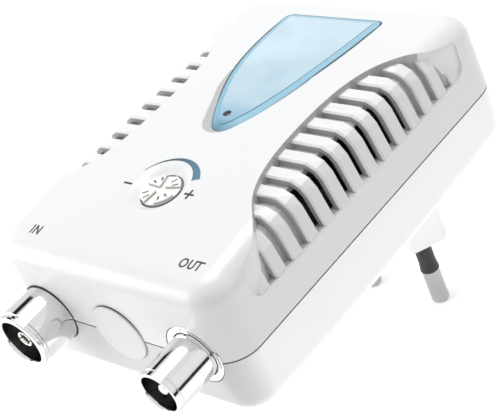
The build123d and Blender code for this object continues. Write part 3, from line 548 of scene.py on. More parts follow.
def turnedPiece(name, size, place, along, material, nodes):
    # Turned piece of the body; bend is the number of steps in each rounded corner
    mesh = spin(name, roundCorners(size["profile"], size["bend"]), place, along, size["facets"])
    addPiece(name, mesh, material, "body", nodes)


def band(bm, one, two, closed=True):
    # Faces between two rows of vertices
    count = len(one)
    return [
        bm.faces.new((one[k], one[(k + 1) % count], two[(k + 1) % count], two[k]))
        for k in range(count if closed else count - 1)
    ]


def sweep(bm, rows, closed=False):
    # Skin over rings of vertices, joined into a loop or closed at both ends
    for one, two in zip(rows, rows[1:] + rows[:1] if closed else rows[1:]):
        band(bm, one, two)
    if not closed:
        bm.faces.new(rows[0])
        bm.faces.new(list(reversed(rows[-1])))


def blockMesh(name, low, high):
    # Plain cutter between two corners
    bm = bmesh.new()
    bmesh.ops.create_cube(bm, size=1)
    bmesh.ops.scale(bm, vec=Vector(high) - Vector(low), verts=bm.verts)
    bmesh.ops.translate(bm, vec=(Vector(low) + Vector(high)) / 2, verts=bm.verts)
    return meshFrom(name, bm)


def cutAway(mesh, cutters, selfTouching=False):
    # Takes the cutter meshes out of a mesh and returns the result
    target = addObject("target", mesh)
    tools = [addObject("tool", cutter) for cutter in cutters]
    for tool in tools:
        cut = target.modifiers.new("cut", "BOOLEAN")
        cut.operation = "DIFFERENCE"
        cut.solver = "EXACT"
        cut.use_self = selfTouching
        cut.object = tool
    result = settled(target)
    for thing in [target] + tools:
        bpy.data.objects.remove(thing)
    return result


def newTree(name, sockets):
    # Geometry tree with its named inputs; returns the tree, its input and output nodes and the ids
    tree = bpy.data.node_groups.new(name, "GeometryNodeTree")
    tree.interface.new_socket("Geometry", in_out="INPUT", socket_type="NodeSocketGeometry")
    ids = {}
    for label, kind in sockets:
        ids[label] = tree.interface.new_socket(label, in_out="INPUT", socket_type=kind).identifier
    tree.interface.new_socket("Geometry", in_out="OUTPUT", socket_type="NodeSocketGeometry")
    return tree, tree.nodes.new("NodeGroupInput"), tree.nodes.new("NodeGroupOutput"), ids


def endTree(tree, source, sink, material, links):
    # Last nodes of a tree: one copy at each point, made real, with its finish
    points = {"Points": source.outputs["Geometry"]}
    copies = addNode(tree, "GeometryNodeInstanceOnPoints", links={**points, **links})
    real = addNode(tree, "GeometryNodeRealizeInstances", links={"Geometry": copies.outputs["Instances"]})
    paint = addNode(
        tree, "GeometryNodeSetMaterial", {"Material": material}, {"Geometry": real.outputs["Geometry"]}
    )
    tree.links.new(paint.outputs["Geometry"], sink.inputs["Geometry"])


def growFrom(name, points, tree, values):
    # Runs a tree on loose points and keeps the result as a plain mesh
    seed = bpy.data.meshes.new(name + "Seed")
    seed.from_pydata(points, [], [])
    base = addObject(name + "Seed", seed)
    grow = base.modifiers.new("grow", "NODES")
    grow.node_group = tree
    for key, value in values.items():
        grow[key] = value
    result = settled(base)
    result.name = name
    base.modifiers.remove(grow)
    bpy.data.objects.remove(base)
    return result


def bow(x, y, rx, ry, start, end, steps):
    # Points along an ellipse between two angles in degrees
    angles = [math.radians(start + (end - start) * k / steps) for k in range(steps + 1)]
    return [(x + rx * math.cos(a), y + ry * math.sin(a)) for a in angles]


# Indicator lens in mm: half of its outline from the middle and the front, and how far rim and face lie
# under the crown at the rear and at the dipped tip. Each ring has a distance from the edge and a share of
# the way from rim to face; paint 1 is the border, 2 the groove and 3 the painted shade of the outer edge
lens = {
    "tip": 39.3,
    "half": [
        (0.0, 39.3), (1.4, 39.6), (2.6, 40.7), (3.6, 42.2), (5.1, 44.6), (6.5, 47.4), (8.4, 51.9),
        (9.5, 55.2), (10.6, 59.9), (11.35, 64.1), (11.95, 68.8), (12.3, 73.6), (12.6, 77.3),
    ],
    "rear": 78.8,
    "cornerRound": 1.6,
    "cornerStep": 0.02,
    "curveSteps": 5,
    "cornerSteps": 8,
    "rearSteps": 12,
    "fit": 0.05,
    "rim": -0.1,
    "tipRim": 0.85,
    "face": -0.42,
    "tipFace": 0.25,
    "dipFrom": 62.0,
    "dipTo": 41.0,
    "rings": [(0, -4.0), (0, 0.0), (0.28, 0.1), (1.35, 0.8), (1.37, 0.7), (1.49, 0.7), (1.51, 1.0)],
    "paints": [3, 3, 1, 2, 2, 2],
    "topUp": 0.5,
    "litEdgeTo": 77.0,
    "slices": 27,
    "slicedLength": 40.3,
    "lampHole": 0.9,
    "lampX": -0.8,
    "lampY": 43.9,
    "lampHoleFrom": 46.0,
    "lampHoleLength": 8,
    "lampHoleFacets": 48,
}


def smoothPath(points, steps):
    # Catmull-Rom curve through the points
    out = []
    for i in range(len(points) - 1):
        p0 = Vector(points[max(i - 1, 0)])
        p1 = Vector(points[i])
        p2 = Vector(points[i + 1])
        p3 = Vector(points[min(i + 2, len(points) - 1)])
        for k in range(steps):
            t = k / steps
            square = (2 * p0 - 5 * p1 + 4 * p2 - p3) * t * t
            p = 0.5 * (2 * p1 + (p2 - p0) * t + square + (3 * p1 - p0 - 3 * p2 + p3) * t**3)
            out.append((p.x, p.y))
    out.append(tuple(points[-1]))
    return out


def insetLoop(points, distance):
    # Closed loop moved inwards by a distance; the loop runs counter-clockwise
    out = []
    for i, (x, y) in enumerate(points):
        way = (Vector(points[(i + 1) % len(points)]) - Vector(points[i - 1])).normalized()
        out.append((x - way.y * distance, y + way.x * distance))
    return out


def lensOutline():
    # Both halves, the two rear corners and the rear edge, grown by the fit
    mirrored = [(-x, y) for x, y in reversed(lens["half"][1:])]
    edge = smoothPath(mirrored + lens["half"], lens["curveSteps"])
    r = lens["cornerRound"]
    x = lens["half"][-1][0] + lens["cornerStep"]
    right = bow(x - r, lens["rear"] - r, r, r, 0, 90, lens["cornerSteps"])
    left = bow(-x + r, lens["rear"] - r, r, r, 90, 180, lens["cornerSteps"])
    count = lens["rearSteps"]
    start, end = right[-1][0], left[0][0]
    rear = [(start + (end - start) * k / count, lens["rear"]) for k in range(1, count)]
    return insetLoop(edge + right + rear + left, -lens["fit"])


outline = lensOutline()


def tipShare(y):
    # How far the lens has dipped towards its tip, from none to all
    t = min(max((lens["dipFrom"] - y) / (lens["dipFrom"] - lens["dipTo"]), 0), 1)
    return t * t * (3 - 2 * t)


def dipped(y, level, tipLevel):
    # Level at this place, between the one at the rear and the one at the dipped tip
    return level + (tipLevel - level) * tipShare(y)


# Scoop in the cover round the dipped tip of the lens, in mm
scoop = {
    "shorter": 0.5,
    "deeper": 0.06,
    "least": 0.02,
    "inner": 0.02,
    "outer": 0.04,
    "wide": 1.86,
    "slope": 0.2,
    "top": 3.0,
}


def scoopCutter():
    # Wedge that follows the lens edge and deepens and widens towards the tip
    bm = bmesh.new()
    rows = []
    for i, point in enumerate(outline):
        x, y = Vector(point)
        if y >= lens["dipFrom"] - scoop["shorter"]:
            continue
        way = (Vector(outline[(i + 1) % len(outline)]) - Vector(outline[i - 1])).normalized()
        away = Vector((way.y, -way.x))
        deep = dipped(y, lens["rim"], lens["tipRim"]) + scoop["deeper"]
        wide = scoop["outer"] + scoop["wide"] * math.sqrt(tipShare(y))
        edge = max(deep, scoop["least"]) * scoop["slope"]
        row = []
        for reach, rise in ((scoop["inner"], -deep), (wide, edge), (wide, scoop["top"])):
            q = Vector((x, y)) + away * reach
            row.append(bm.verts.new(onTop(q.x, q.y, rise)))
        rows.append(row)
    for one, two in zip(rows, rows[1:]):
        band(bm, one, two, closed=False)
    count = len(rows)
    middle = count // 2
    for j in range(middle):
        for k in (0, 2):
            corners = [rows[j][k], rows[j + 1][k], rows[count - 2 - j][k], rows[count - 1 - j][k]]
            if j + 1 == middle:
                corners = [rows[j][k], rows[middle][k], rows[count - 1 - j][k]]
            bm.faces.new(corners)
    bm.faces.new(rows[0] + list(reversed(rows[-1])))
    return meshFrom("scoopCutter", bm)


# Dish round the dial, square to the crowned top: radius and height of its soft outer edge in mm
dish = {
    "profile": [
        (0, -1.25), (4.46, -1.25), (5.0, -0.9), (5.6, -0.5), (6.1, -0.2), (6.5, -0.05),
        (7.2, 0.1), (7.2, 2), (0, 2),
    ],
    "place": (0, layout["dialY"], crownAt(layout["dialY"])),
    "axis": Vector((0, (layout["dialY"] - layout["crownY"]) / layout["crownRadius"], 1)).normalized(),
    "facets": 96,
}

# Vents of the flanks: slots that widen inwards, one in each middle gap, in mm from the middle and
# the front; their section runs from the top down the bent flank, with heights from the seam
vents = {
    "pitch": 4.78,
    "middleY": 43.7,
    "reach": 3,
    "width": 1.55,
    "lean": 0.45,
    "deep": (1.35, 3.8),
    "crown": 18.2,
    "section": [(24.7, 17.05), (25.4, 16.95), (27.3, 15.8), (28.5, 13.6), (29.72, 7.2)],
    "farStart": (23.6, 17.08),
    "shortAt": 1,
    "shortSection": [(26.6, 16.25), (27.3, 15.8), (28.5, 13.6), (29.72, 7.2)],
}


def ventCutter(section):
    # One slot of the right flank, swept down the bent section between two depths
    bm = bmesh.new()
    section = [Vector(p) for p in section]
    rows = []
    for i, p in enumerate(section):
        way = (section[min(i + 1, len(section) - 1)] - section[max(i - 1, 0)]).normalized()
        inwards = Vector((way.y, -way.x))
        if inwards.x > 0:
            inwards = -inwards
        row = []
        for deep, shift in zip(vents["deep"], (0.0, vents["lean"] * 2)):
            q = p + inwards * deep
            for side in (-1, 1):
                y = side * vents["width"] / 2 + shift + (vents["lean"] if side > 0 else 0)
                row.append(bm.verts.new((q.x / 1000, y / 1000, (q.y - vents["crown"]) / 1000)))
        rows.append([row[k] for k in (0, 1, 3, 2)])
    sweep(bm, rows)
    return meshFrom("ventCutter", bm)


tree, source, sink, ids = newTree(
    "ventRow", [("Slot", "NodeSocketObject"), ("Mirror", "NodeSocketFloat")]
)
shape = addNode(tree, "GeometryNodeObjectInfo", links={"Object": source.outputs["Slot"]})
flip = addNode(tree, "ShaderNodeCombineXYZ", {"Y": 1.0, "Z": 1.0}, {"X": source.outputs["Mirror"]})
links = {"Instance": shape.outputs["Geometry"], "Scale": flip.outputs["Vector"]}
endTree(tree, source, sink, absWhite, links)
whole = [i for i in range(-vents["reach"], vents["reach"] + 1) if i != vents["shortAt"]]
bm = bmesh.new()
for section, places, sides in (
    (vents["section"], whole, [1.0]),
    ([vents["farStart"]] + vents["section"], whole, [-1.0]),
    (vents["shortSection"], [vents["shortAt"]], [1.0, -1.0]),
):
    slot = addObject("ventSlot", ventCutter(section))
    points = [onTop(0, vents["middleY"] + vents["pitch"] * i) for i in places]
    for side in sides:
        bm.from_mesh(growFrom("ventRow", points, tree, {ids["Slot"]: slot, ids["Mirror"]: side}))
    bpy.data.objects.remove(slot)
bm.from_mesh(scoopCutter())
bm.from_mesh(spin("dishCutter", dish["profile"], dish["place"], dish["axis"], dish["facets"]))
coverCutter = meshFrom("coverCutter", bm)

# Where the shells get painted shade and painted shadow: places in mm, heights as if the top were flat,
# slopes as the share that points up; the crest is the section of the ribs
shades = {
    "seam": 0.32,
    "seamUp": 0.4,
    "scoopX": 13,
    "scoopY": (-34, -8),
    "scoopZ": (48.9, 50.18),
    "scoopUp": (0.2, 0.985),
    "dialRadius": 4.6,
    "dialZ": (48, 50),
    "flankX": 8,
    "flankY": (-60.4, 8.2),
    "flankZ": 38.95,
    "wallX": (14, 27),
    "wallZ": (47.2, 50.18),
    "wallUp": 0.35,
    "crest": [(18.4, 49.1), (25.4, 48.95), (27.3, 47.8), (28.5, 45.6), (29.76, 38.9)],
    "crestGap": 0.3,
}
shell = {"join": 1e-6, "weight": 90, "crownUp": 0.99, "crownGap": 0.00006}


def within(value, span):
    return span[0] < value < span[1]


def shadeOf(face):
    # 0 for the smooth skin, 1 for the painted shade of the hollows, 2 for the painted shadow in the parting
    # line
    x, y, z = (v * 1000 for v in face.center)
    up = face.normal.z
    if abs(z - layout["seamZ"] * 1000) < shades["seam"] and abs(up) > shades["seamUp"]:
        return 2
    level = z + (layout["crownZ"] - crownAt(y / 1000)) * 1000
    nearLens = abs(x) < shades["scoopX"] and within(y, shades["scoopY"]) and within(up, shades["scoopUp"])
    if nearLens and within(level, shades["scoopZ"]):
        return 1
    away = math.hypot(x, y - layout["dialY"] * 1000)
    if away < shades["dialRadius"] and within(level, shades["dialZ"]):
        return 1
    if not within(y, shades["flankY"]) or abs(x) < shades["flankX"] or level < shades["flankZ"]:
        return 0
    if abs(up) < shades["wallUp"] and within(level, shades["wallZ"]) and within(abs(x), shades["wallX"]):
        return 1
    spot = Vector((abs(x), level))
    nearest = (math.inf, False)
    for a, b in zip(shades["crest"], shades["crest"][1:]):
        a, b = Vector(a), Vector(b)
        t = min(max((spot - a).dot(b - a) / (b - a).length_squared, 0), 1)
        gap = spot - (a + (b - a) * t)
        if gap.length < nearest[0]:
            nearest = (gap.length, gap.dot(Vector(((b - a).y, -(b - a).x))) > 0)
    return 1 if nearest[0] > shades["crestGap"] and nearest[1] else 0


def evenShade(mesh):
    # Broad faces keep their own direction, so soft edges don't bend the light across them
    thing = addObject("evenShell", mesh)
    even = thing.modifiers.new("even", "WEIGHTED_NORMAL")
    even.mode = "FACE_AREA"
    even.weight = shell["weight"]
    even.keep_sharp = True
    result = settled(thing)
    bpy.data.objects.remove(thing)
    return result


def settleCrown(mesh):
    # Gives every corner that lies on the crowned top the exact direction of that surface
    normals = [Vector(n.vector) for n in mesh.corner_normals]
    for face in mesh.polygons:
        if face.normal.z < shell["crownUp"]:
            continue
        for corner in face.loop_indices:
            v = mesh.vertices[mesh.loops[corner].vertex_index].co
            if abs(v.z - crownAt(v.y)) < shell["crownGap"]:
                slope = (v.y - layout["crownY"]) / layout["crownRadius"]
                normals[corner] = Vector((0, slope, 1)).normalized()
    mesh.normals_split_custom_set(normals)


def dressShell(name, node, skin, cutter=None):
    # One housing half with its triangles joined, its cuts, even shading, its skin, painted shade and
    # painted shadow
    bm = bmesh.new()
    bm.from_mesh(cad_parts[node].data)
    bmesh.ops.remove_doubles(bm, verts=bm.verts, dist=shell["join"])
    mesh = meshFrom(name, bm, turnOut=False)
    if cutter:
        mesh = cutAway(mesh, [cutter], selfTouching=True)
        bm = bmesh.new()
        bm.from_mesh(mesh)
        bmesh.ops.holes_fill(bm, edges=[e for e in bm.edges if len(e.link_faces) == 1], sides=0)
        bmesh.ops.delete(bm, geom=[e for e in bm.edges if not e.link_faces], context="EDGES")
        bm.to_mesh(mesh)
        bm.free()
    smoothShade(mesh, "shell")
    mesh = evenShade(mesh)
    mesh.name = name
    mesh.materials.clear()
    for finish in (skin, shadedAbs, shadowBlack):
        mesh.materials.append(finish)
    for face in mesh.polygons:
        face.material_index = shadeOf(face)
    if cutter:
        settleCrown(mesh)
    addPiece(name, mesh, skin, "body", [node])


dressShell("coverShell", "top_cover", absWhite, coverCutter)
dressShell("baseShell", "base_housing", baseWhite)
print("shells ready")

# Printed signs: thin slabs of ink that follow the crowned top, in mm from the middle and the front
prints = {
    "thick": 0.02,
    "lift": 0.03,
    "stroke": 0.34,
    "signStroke": 0.46,
    "arcRadius": 7.5,
    "arcFrom": 155.0,
    "arcTo": 25.0,
    "arcSteps": 64,
    "arcThin": 0.12,
    "arcThick": 1.75,
    "arcSwell": 1.3,
    "minus": [(-9.0, 21.2), (-6.8, 21.2)],
    "plus": (8.3, 21.4, 2.4),
    "rise": 1.78,
    "inBase": 5.08,
    "inX": (-21.0, -20.2, -18.9),
    "outBase": 5.76,
    "outX": (19.36, 21.33, 22.97),
    "ringWidth": 1.5,
    "ringSteps": 28,
    "bowlWidth": 1.1,
    "bowlSteps": 14,
    "barWidth": 1.58,
    "slantEnd": 0.6,
    "signSteps": 4,
    "letterSteps": 3,
}


def inkStrip(bm, points, widths, closed=False):
    # Slab along a path on the top; widths holds one width for each point
    count = len(points)
    rows = []
    for i, (x, y) in enumerate(points):
        before = points[i - 1] if i or closed else points[i]
        after = points[(i + 1) % count] if i < count - 1 or closed else points[i]
        way = Vector((after[0] - before[0], after[1] - before[1])).normalized()
        out = Vector((-way.y, way.x)) * widths[i] / 2
        corners = ((1, prints["lift"]), (-1, prints["lift"]), (-1, -prints["thick"]), (1, -prints["thick"]))
        rows.append(
            [bm.verts.new(onTop(x + sign * out.x, y + sign * out.y, lift)) for sign, lift in corners]
        )
    sweep(bm, rows, closed)


def inkPath(bm, points, closed=False, steps=1, stroke=prints["stroke"]):
    # Path of one even stroke, each of its stretches split into steps
    fine = []
    ends = points[1:] + (points[:1] if closed else [])
    for (x0, y0), (x1, y1) in zip(points, ends):
        for k in range(steps):
            t = k / steps
            fine.append((x0 + (x1 - x0) * t, y0 + (y1 - y0) * t))
    if not closed:
        fine.append(points[-1])
    inkStrip(bm, fine, [stroke] * len(fine), closed)


bm = bmesh.new()
r = prints["arcRadius"]
dialFromFront = (layout["dialY"] - layout["frontY"]) * 1000
arc = bow(0, dialFromFront, r, r, prints["arcFrom"], prints["arcTo"], prints["arcSteps"])
swell = prints["arcThick"] - prints["arcThin"]
shares = [k / prints["arcSteps"] for k in range(len(arc))]
inkStrip(bm, arc, [prints["arcThin"] + swell * t ** prints["arcSwell"] for t in shares])
addPiece("gainArc", meshFrom("gainArc", bm), tealInk, "body")

# Minus and plus, then the strokes of IN and OUT
bm = bmesh.new()
x, y, size = prints["plus"]
for line in (
    prints["minus"],
    [(x - size / 2, y), (x + size / 2, y)],
    [(x, y - size / 2), (x, y + size / 2)],
):
    inkPath(bm, line, steps=prints["signSteps"], stroke=prints["signStroke"])
half = prints["stroke"] / 2
slant = half * prints["slantEnd"]
single, left, right = prints["inX"]
ring, bowl, bar = prints["outX"]
base = prints["inBase"]
top = base + prints["rise"]
outBase = prints["outBase"]
outTop = outBase + prints["rise"]
wide = prints["barWidth"] / 2 + half
for line in (
    [(single, base - half), (single, top + half)],
    [(left, base - half), (left, top + half)],
    [(left, top + slant), (right, base - slant)],
    [(right, base - half), (right, top + half)],
    [(bar - wide, outTop), (bar + wide, outTop)],
    [(bar, outTop), (bar, outBase - half)],
):
    inkPath(bm, line, steps=prints["letterSteps"])
wide = prints["ringWidth"] / 2
loop = bow(ring, (outBase + outTop) / 2, wide, prints["rise"] / 2, 0, 360, prints["ringSteps"])
inkPath(bm, loop[:-1], closed=True)
wide = prints["bowlWidth"] / 2
curve = bow(bowl, outBase + wide, wide, wide, 180, 360, prints["bowlSteps"])
inkPath(bm, [(bowl - wide, outTop + half)] + curve + [(bowl + wide, outTop + half)])
addPiece("printedSigns", meshFrom("printedSigns", bm), greyInk, "body")
print("prints ready")


def lensRing(bm, distance, part):
    # Ring of vertices at a distance from the edge, part of the way from rim to face
    ring = []
    for x, y in insetLoop(outline, distance):
        rim = dipped(y, lens["rim"], lens["tipRim"])
        face = dipped(y, lens["face"], lens["tipFace"])
        ring.append(bm.verts.new(onTop(x, y, -(rim + (face - rim) * part))))
    return ring


def isLensTop(face):
    return face.material_index == 0 and face.normal.z > lens["topUp"]


# Indicator lens: face proud of its border, a fine groove between them, the tip dipped
bm = bmesh.new()
rings = [lensRing(bm, distance, part) for distance, part in lens["rings"]]
litEdgeY = layout["frontY"] + lens["litEdgeTo"] / 1000
for one, two, paint in zip(rings, rings[1:], lens["paints"]):
    for vert, face in zip(one, band(bm, one, two)):
        # Painted shade on the outer edge, except on the lit right side, which takes the border paint
        lit = paint == 3 and vert.co.x > 0 and vert.co.y < litEdgeY
        face.material_index = 1 if lit else paint
bm.faces.new(rings[-1])
bm.faces.new(list(reversed(rings[0])))

# The face is sliced across so that it can follow the crown and the dip
for k in range(1, lens["slices"]):
    y = layout["frontY"] + (lens["tip"] + lens["slicedLength"] * k / lens["slices"]) / 1000
    bm.normal_update()
    faces = [f for f in bm.faces if isLensTop(f)]
    edges = list(dict.fromkeys(e for f in faces for e in f.edges))
    verts = list(dict.fromkeys(v for f in faces for v in f.verts))
    bmesh.ops.bisect_plane(bm, geom=verts + edges + faces, plane_co=(0, y, 0), plane_no=(0, 1, 0))
bm.normal_update()
for face in bm.faces:
    if isLensTop(face):
        for v in face.verts:
            drop = dipped((v.co.y - layout["frontY"]) * 1000, lens["face"], lens["tipFace"])
            v.co.z = crownAt(v.co.y) - drop / 1000
lensMesh = meshFrom("indicatorLens", bm)
lampPlace = onTop(lens["lampX"], lens["lampY"])
upwards = (0, 0, 1)
r, length = lens["lampHole"], lens["lampHoleLength"]
holePlace = (lampPlace[0], lampPlace[1], lens["lampHoleFrom"] / 1000)
profile = [(0, 0), (r, 0), (r, length), (0, length)]
hole = spin("lampHole", profile, holePlace, upwards, lens["lampHoleFacets"])
for finish in (lensBlue, lensBorder, lensLine, lensEdge):
    lensMesh.materials.append(finish)
lensMesh = cutAway(lensMesh, [hole])
smoothShade(lensMesh, "lens")
addPiece("indicatorLens", lensMesh, lensBlue, "body", ["indicator_lens"])

# Points of a turned piece have a radius, a place along its axis and a corner radius, in mm.
# Power lamp: its nose stands in the lens hole, inside a dark liner
lamp = {
    "facets": 48,
    "bend": 6,
    "profile": [
        (0, -0.4, 0), (0.38, -0.4, 0.4), (0.38, -2.05, 0), (1.5, -2.05, 0.3), (1.5, -6.6, 0),
        (1.75, -6.6, 0.1), (1.75, -7.5, 0.1), (0, -7.5, 0),
    ],
}
turnedPiece("powerLamp", lamp, lampPlace, upwards, diffusedEpoxy, ["power_led"])
liner = {
    "facets": 48,
    "bend": 3,
    "profile": [(0.42, -0.3, 0.05), (0.9, -0.22, 0.04), (0.9, -1.9, 0), (0.42, -1.9, 0)],
}
turnedPiece("lampLiner", liner, lampPlace, upwards, blackMoulding, [])
print("lens ready")

# Sockets and blank share the front face; both shells end in the same root behind it
inputPlace = (layout["inputX"], layout["frontY"], layout["socketZ"])
outputPlace = (layout["outputX"], layout["frontY"], layout["socketZ"])
blankPlace = (0, layout["frontY"], layout["socketZ"])
outwards = (0, -1, 0)
root = [(7.0, -2.25, 0), (7.0, -3.5, 0), (5.7, -3.5, 0), (5.7, -13.0, 0)]

# Input socket: wide barrel with a rounded lip and a groove behind it
barrel = {
    "facets": 128,
    "bend": 6,
    "profile": [
        (4.87, -13.0, 0), (4.87, 8.5, 0.2), (5.12, 9.0, 0.3), (6.28, 9.0, 0.45), (6.38, 8.3, 0.12),
        (5.95, 8.18, 0.12), (5.95, 7.52, 0.12), (6.36, 7.4, 0.12), (6.35, -2.2, 0), *root,
    ],
}
turnedPiece("inputBarrel", barrel, inputPlace, outwards, brightNickel, ["input_shell"])

# Split spring contact in the input: a rolled ring with two slots
contact = {
    "facets": 64,
    "bend": 4,
    "profile": [
        (1.12, 0.4, 0), (1.12, 7.55, 0.2), (1.32, 7.9, 0.2), (1.75, 7.9, 0.22), (1.75, -1.0, 0),
        (0.9, -1.0, 0), (0.9, -15.5, 0), (0, -15.5, 0), (0, 0.4, 0),
    ],
    "slot": 0.0003,
    "slotReach": 0.0022,
    "slotFrom": 0.0085,
    "slotTo": 0.0024,
}
profile = roundCorners(contact["profile"], contact["bend"])
contactMesh = spin("inputContact", profile, inputPlace, outwards, contact["facets"])
x, y, z = inputPlace
slots = []
for wide, tall in (
    (contact["slotReach"], contact["slot"] / 2),
    (contact["slot"] / 2, contact["slotReach"]),
):
    low = (x - wide, y - contact["slotFrom"], z - tall)
    slots.append(blockMesh("slot", low, (x + wide, y - contact["slotTo"], z + tall)))
contactMesh = cutAway(contactMesh, slots)
smoothShade(contactMesh, "turned")
addPiece("inputContact", contactMesh, brightTin, "body", ["input_contact"])

# Output socket: tube with a fine line behind its lip, standing in a dished ring
tube = {
    "facets": 128,
    "bend": 6,
    "profile": [
        (3.87, -13.0, 0), (3.87, 9.69, 0.2), (4.07, 10.04, 0.25), (4.71, 10.04, 0.3), (4.76, 8.92, 0.05),
        (4.6, 8.84, 0.05), (4.6, 8.66, 0.05), (4.76, 8.58, 0.05), (4.76, -0.35, 0.2), (5.6, -0.42, 0.5),
        (6.21, -0.2, 0.12), (6.36, -0.35, 0.1), (6.36, -2.2, 0), *root,
    ],
}
turnedPiece("outputTube", tube, outputPlace, outwards, brightNickel, ["output_shell"])
tubePin = {
    "facets": 64,
    "bend": 8,
    "profile": [(0, 8.95, 0), (1.17, 8.95, 0.8), (1.17, -15.5, 0), (0, -15.5, 0)],
}
turnedPiece("outputPin", tubePin, outputPlace, outwards, brightTin, ["output_pin"])

# Blank disc between the sockets, a hair proud with a soft edge
blank = {
    "facets": 128,
    "bend": 5,
    "profile": [
        (0, 0.35, 0), (6.36, 0.35, 0.3), (6.36, -2.2, 0), (7.0, -2.2, 0), (7.0, -3.2, 0), (0, -3.2, 0),
    ],
}
turnedPiece("blankDisc", blank, blankPlace, outwards, absBlank, ["blank_cap"])

# Painted shadow: fine black rings in the gaps round the barrel, the tube, the blank and the dial, standing
# for the shade in those gaps; inner and outer radius and front, in mm
gapShadows = {
    "facets": 96,
    "bend": 2,
    "deep": 0.3,
    "edge": 0.03,
    "rings": [
        ("inputSeal", inputPlace, outwards, 6.36, 6.56, 0.03),
        ("outputSeal", outputPlace, outwards, 4.74, 5.0, -0.3),
        ("blankSeal", blankPlace, outwards, 6.34, 6.42, 0.02),
        ("dialSeal", dish["place"], dish["axis"], 4.2, 4.4, -1.2),
    ],
}
for name, place, along, inner, outer, top in gapShadows["rings"]:
    foot, edge = top - gapShadows["deep"], gapShadows["edge"]
    profile = [(inner, top, edge), (outer, top, edge), (outer, foot, 0), (inner, foot, 0)]
    size = {**gapShadows, "profile": profile}
    turnedPiece(name, size, place, along, shadowBlack, [])

# Plug pins with rounded tips and their moulded sleeves
plugPin = {
    "facets": 64,
    "bend": 8,
    "profile": [
        (0, 19.0, 0), (2.0, 19.0, 1.5), (2.0, 10.02, 0.1), (1.5, 10.02, 0), (1.5, -9.2, 0), (0, -9.2, 0),
    ],
}
pinSleeve = {
    "facets": 64,
    "bend": 5,
    "profile": [(1.5, -1.0, 0), (1.9, -1.0, 0), (1.9, 7.8, 0.6), (2.15, 10.0, 0.12), (1.5, 10.0, 0)],
}
downwards = (0, 0, -1)
for side, sign in (("left", -1), ("right", 1)):
    place = (sign * layout["pinX"], 0, 0)
    turnedPiece(side + "PlugPin", plugPin, place, downwards, pinNickel, [side + "_pin"])
    nodes = [side + "_sleeve"]
    turnedPiece(side + "PinSleeve", pinSleeve, place, downwards, blackMoulding, nodes)
print("sockets and plug ready")

# Gain rotor: cap with a flared cross recess open at the rim and eight index slots
rotor = {
    "facets": 96,
    "bend": 5,
    "radius": 4.1,
    "sink": 0.5,
    "edge": 0.28,
    "capDepth": 2.6,
    "flange": 4.9,
    "flangeFrom": 2.65,
    "flangeTo": 3.4,
    "stem": 1.95,
    "crossFoot": 0.65,
    "crossMouth": 1.25,
    "crossFrom": 1.1,
    "crossReach": 6.0,
    "crossBend": 0.02,
    "crossDepth": 0.5,
    "crossTurn": 5.0,
    "overrun": 0.001,
    "slotRadius": 3.0,
    "slotLength": 1.3,
    "slotWidth": 0.42,
    "slotDepth": 0.5,
    "slotSpread": 28.0,
    "wallUp": 0.5,
}
rotorTop = crownAt(layout["dialY"]) - rotor["sink"] / 1000
rotorPlace = (0.0, layout["dialY"], rotorTop)
depth = (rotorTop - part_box("gain_rotor")[0].z) * 1000
profile = [
    (0, 0, 0),
    (rotor["radius"], 0, rotor["edge"]),
    (rotor["radius"], -rotor["capDepth"], 0),
    (rotor["flange"], -rotor["flangeFrom"], 0),
    (rotor["flange"], -rotor["flangeTo"], 0),
    (rotor["stem"], -rotor["flangeTo"], 0),
    (rotor["stem"], -depth, 0),
    (0, -depth, 0),
]
profile = roundCorners(profile, rotor["bend"])
rotorMesh = spin("gainRotor", profile, rotorPlace, upwards, rotor["facets"])


def crossCutter():
    # Cross with arms that flare outwards, pushed down from above the cap
    foot = rotor["crossFoot"]
    reach = rotor["crossReach"]
    flare = foot + (rotor["crossMouth"] - foot) * (reach / rotor["radius"])
    start = rotor["crossFrom"]
    bend = foot + rotor["crossBend"]
    bm = bmesh.new()
    for quarter in range(4):
        a = math.radians(90 * quarter + rotor["crossTurn"])
        for x, y in ((foot, -foot), (start, -bend), (reach, -flare), (reach, flare), (start, bend)):
            across = x * math.cos(a) - y * math.sin(a)
            along = x * math.sin(a) + y * math.cos(a)
            place = (across / 1000, layout["dialY"] + along / 1000, rotorTop + rotor["overrun"])
            bm.verts.new(place)
    pushed = bmesh.ops.extrude_face_region(bm, geom=[bm.faces.new(bm.verts)])
    moved = [g for g in pushed["geom"] if isinstance(g, bmesh.types.BMVert)]
    down = (0, 0, -rotor["overrun"] - rotor["crossDepth"] / 1000)
    bmesh.ops.translate(bm, vec=down, verts=moved)
    return meshFrom("crossCutter", bm)


# Index slots of the rotor: one cutter at each point, turned to the centre
tree, source, sink, ids = newTree(
    "indexSlots",
    [
        ("Length", "NodeSocketFloat"),
        ("Width", "NodeSocketFloat"),
        ("Depth", "NodeSocketFloat"),
        ("Centre", "NodeSocketVector"),
    ],
)
size = addNode(
    tree,
    "ShaderNodeCombineXYZ",
    links={"X": source.outputs["Length"], "Y": source.outputs["Width"], "Z": source.outputs["Depth"]},
)
block = addNode(tree, "GeometryNodeMeshCube", links={"Size": size.outputs["Vector"]})
place = addNode(tree, "GeometryNodeInputPosition")
away = addNode(
    tree,
    "ShaderNodeVectorMath",
    {"operation": "SUBTRACT"},
    {0: place.outputs["Position"], 1: source.outputs["Centre"]},
)
turn = addNode(
    tree, "FunctionNodeAlignRotationToVector", {"axis": "X"}, {"Vector": away.outputs["Vector"]}
)
links = {"Instance": block.outputs["Mesh"], "Rotation": turn.outputs["Rotation"]}
endTree(tree, source, sink, nylonWhite, links)
points = []
r = rotor["slotRadius"] / 1000
for quarter in range(4):
    for lean in (-rotor["slotSpread"] / 2, rotor["slotSpread"] / 2):
        a = math.radians(45 + 90 * quarter + rotor["crossTurn"] / 2 + lean)
        points.append((r * math.cos(a), layout["dialY"] + r * math.sin(a), rotorTop))
values = {
    ids["Length"]: rotor["slotLength"] / 1000,
    ids["Width"]: rotor["slotWidth"] / 1000,
    ids["Depth"]: rotor["slotDepth"] * 2 / 1000,
    ids["Centre"]: rotorPlace,
}
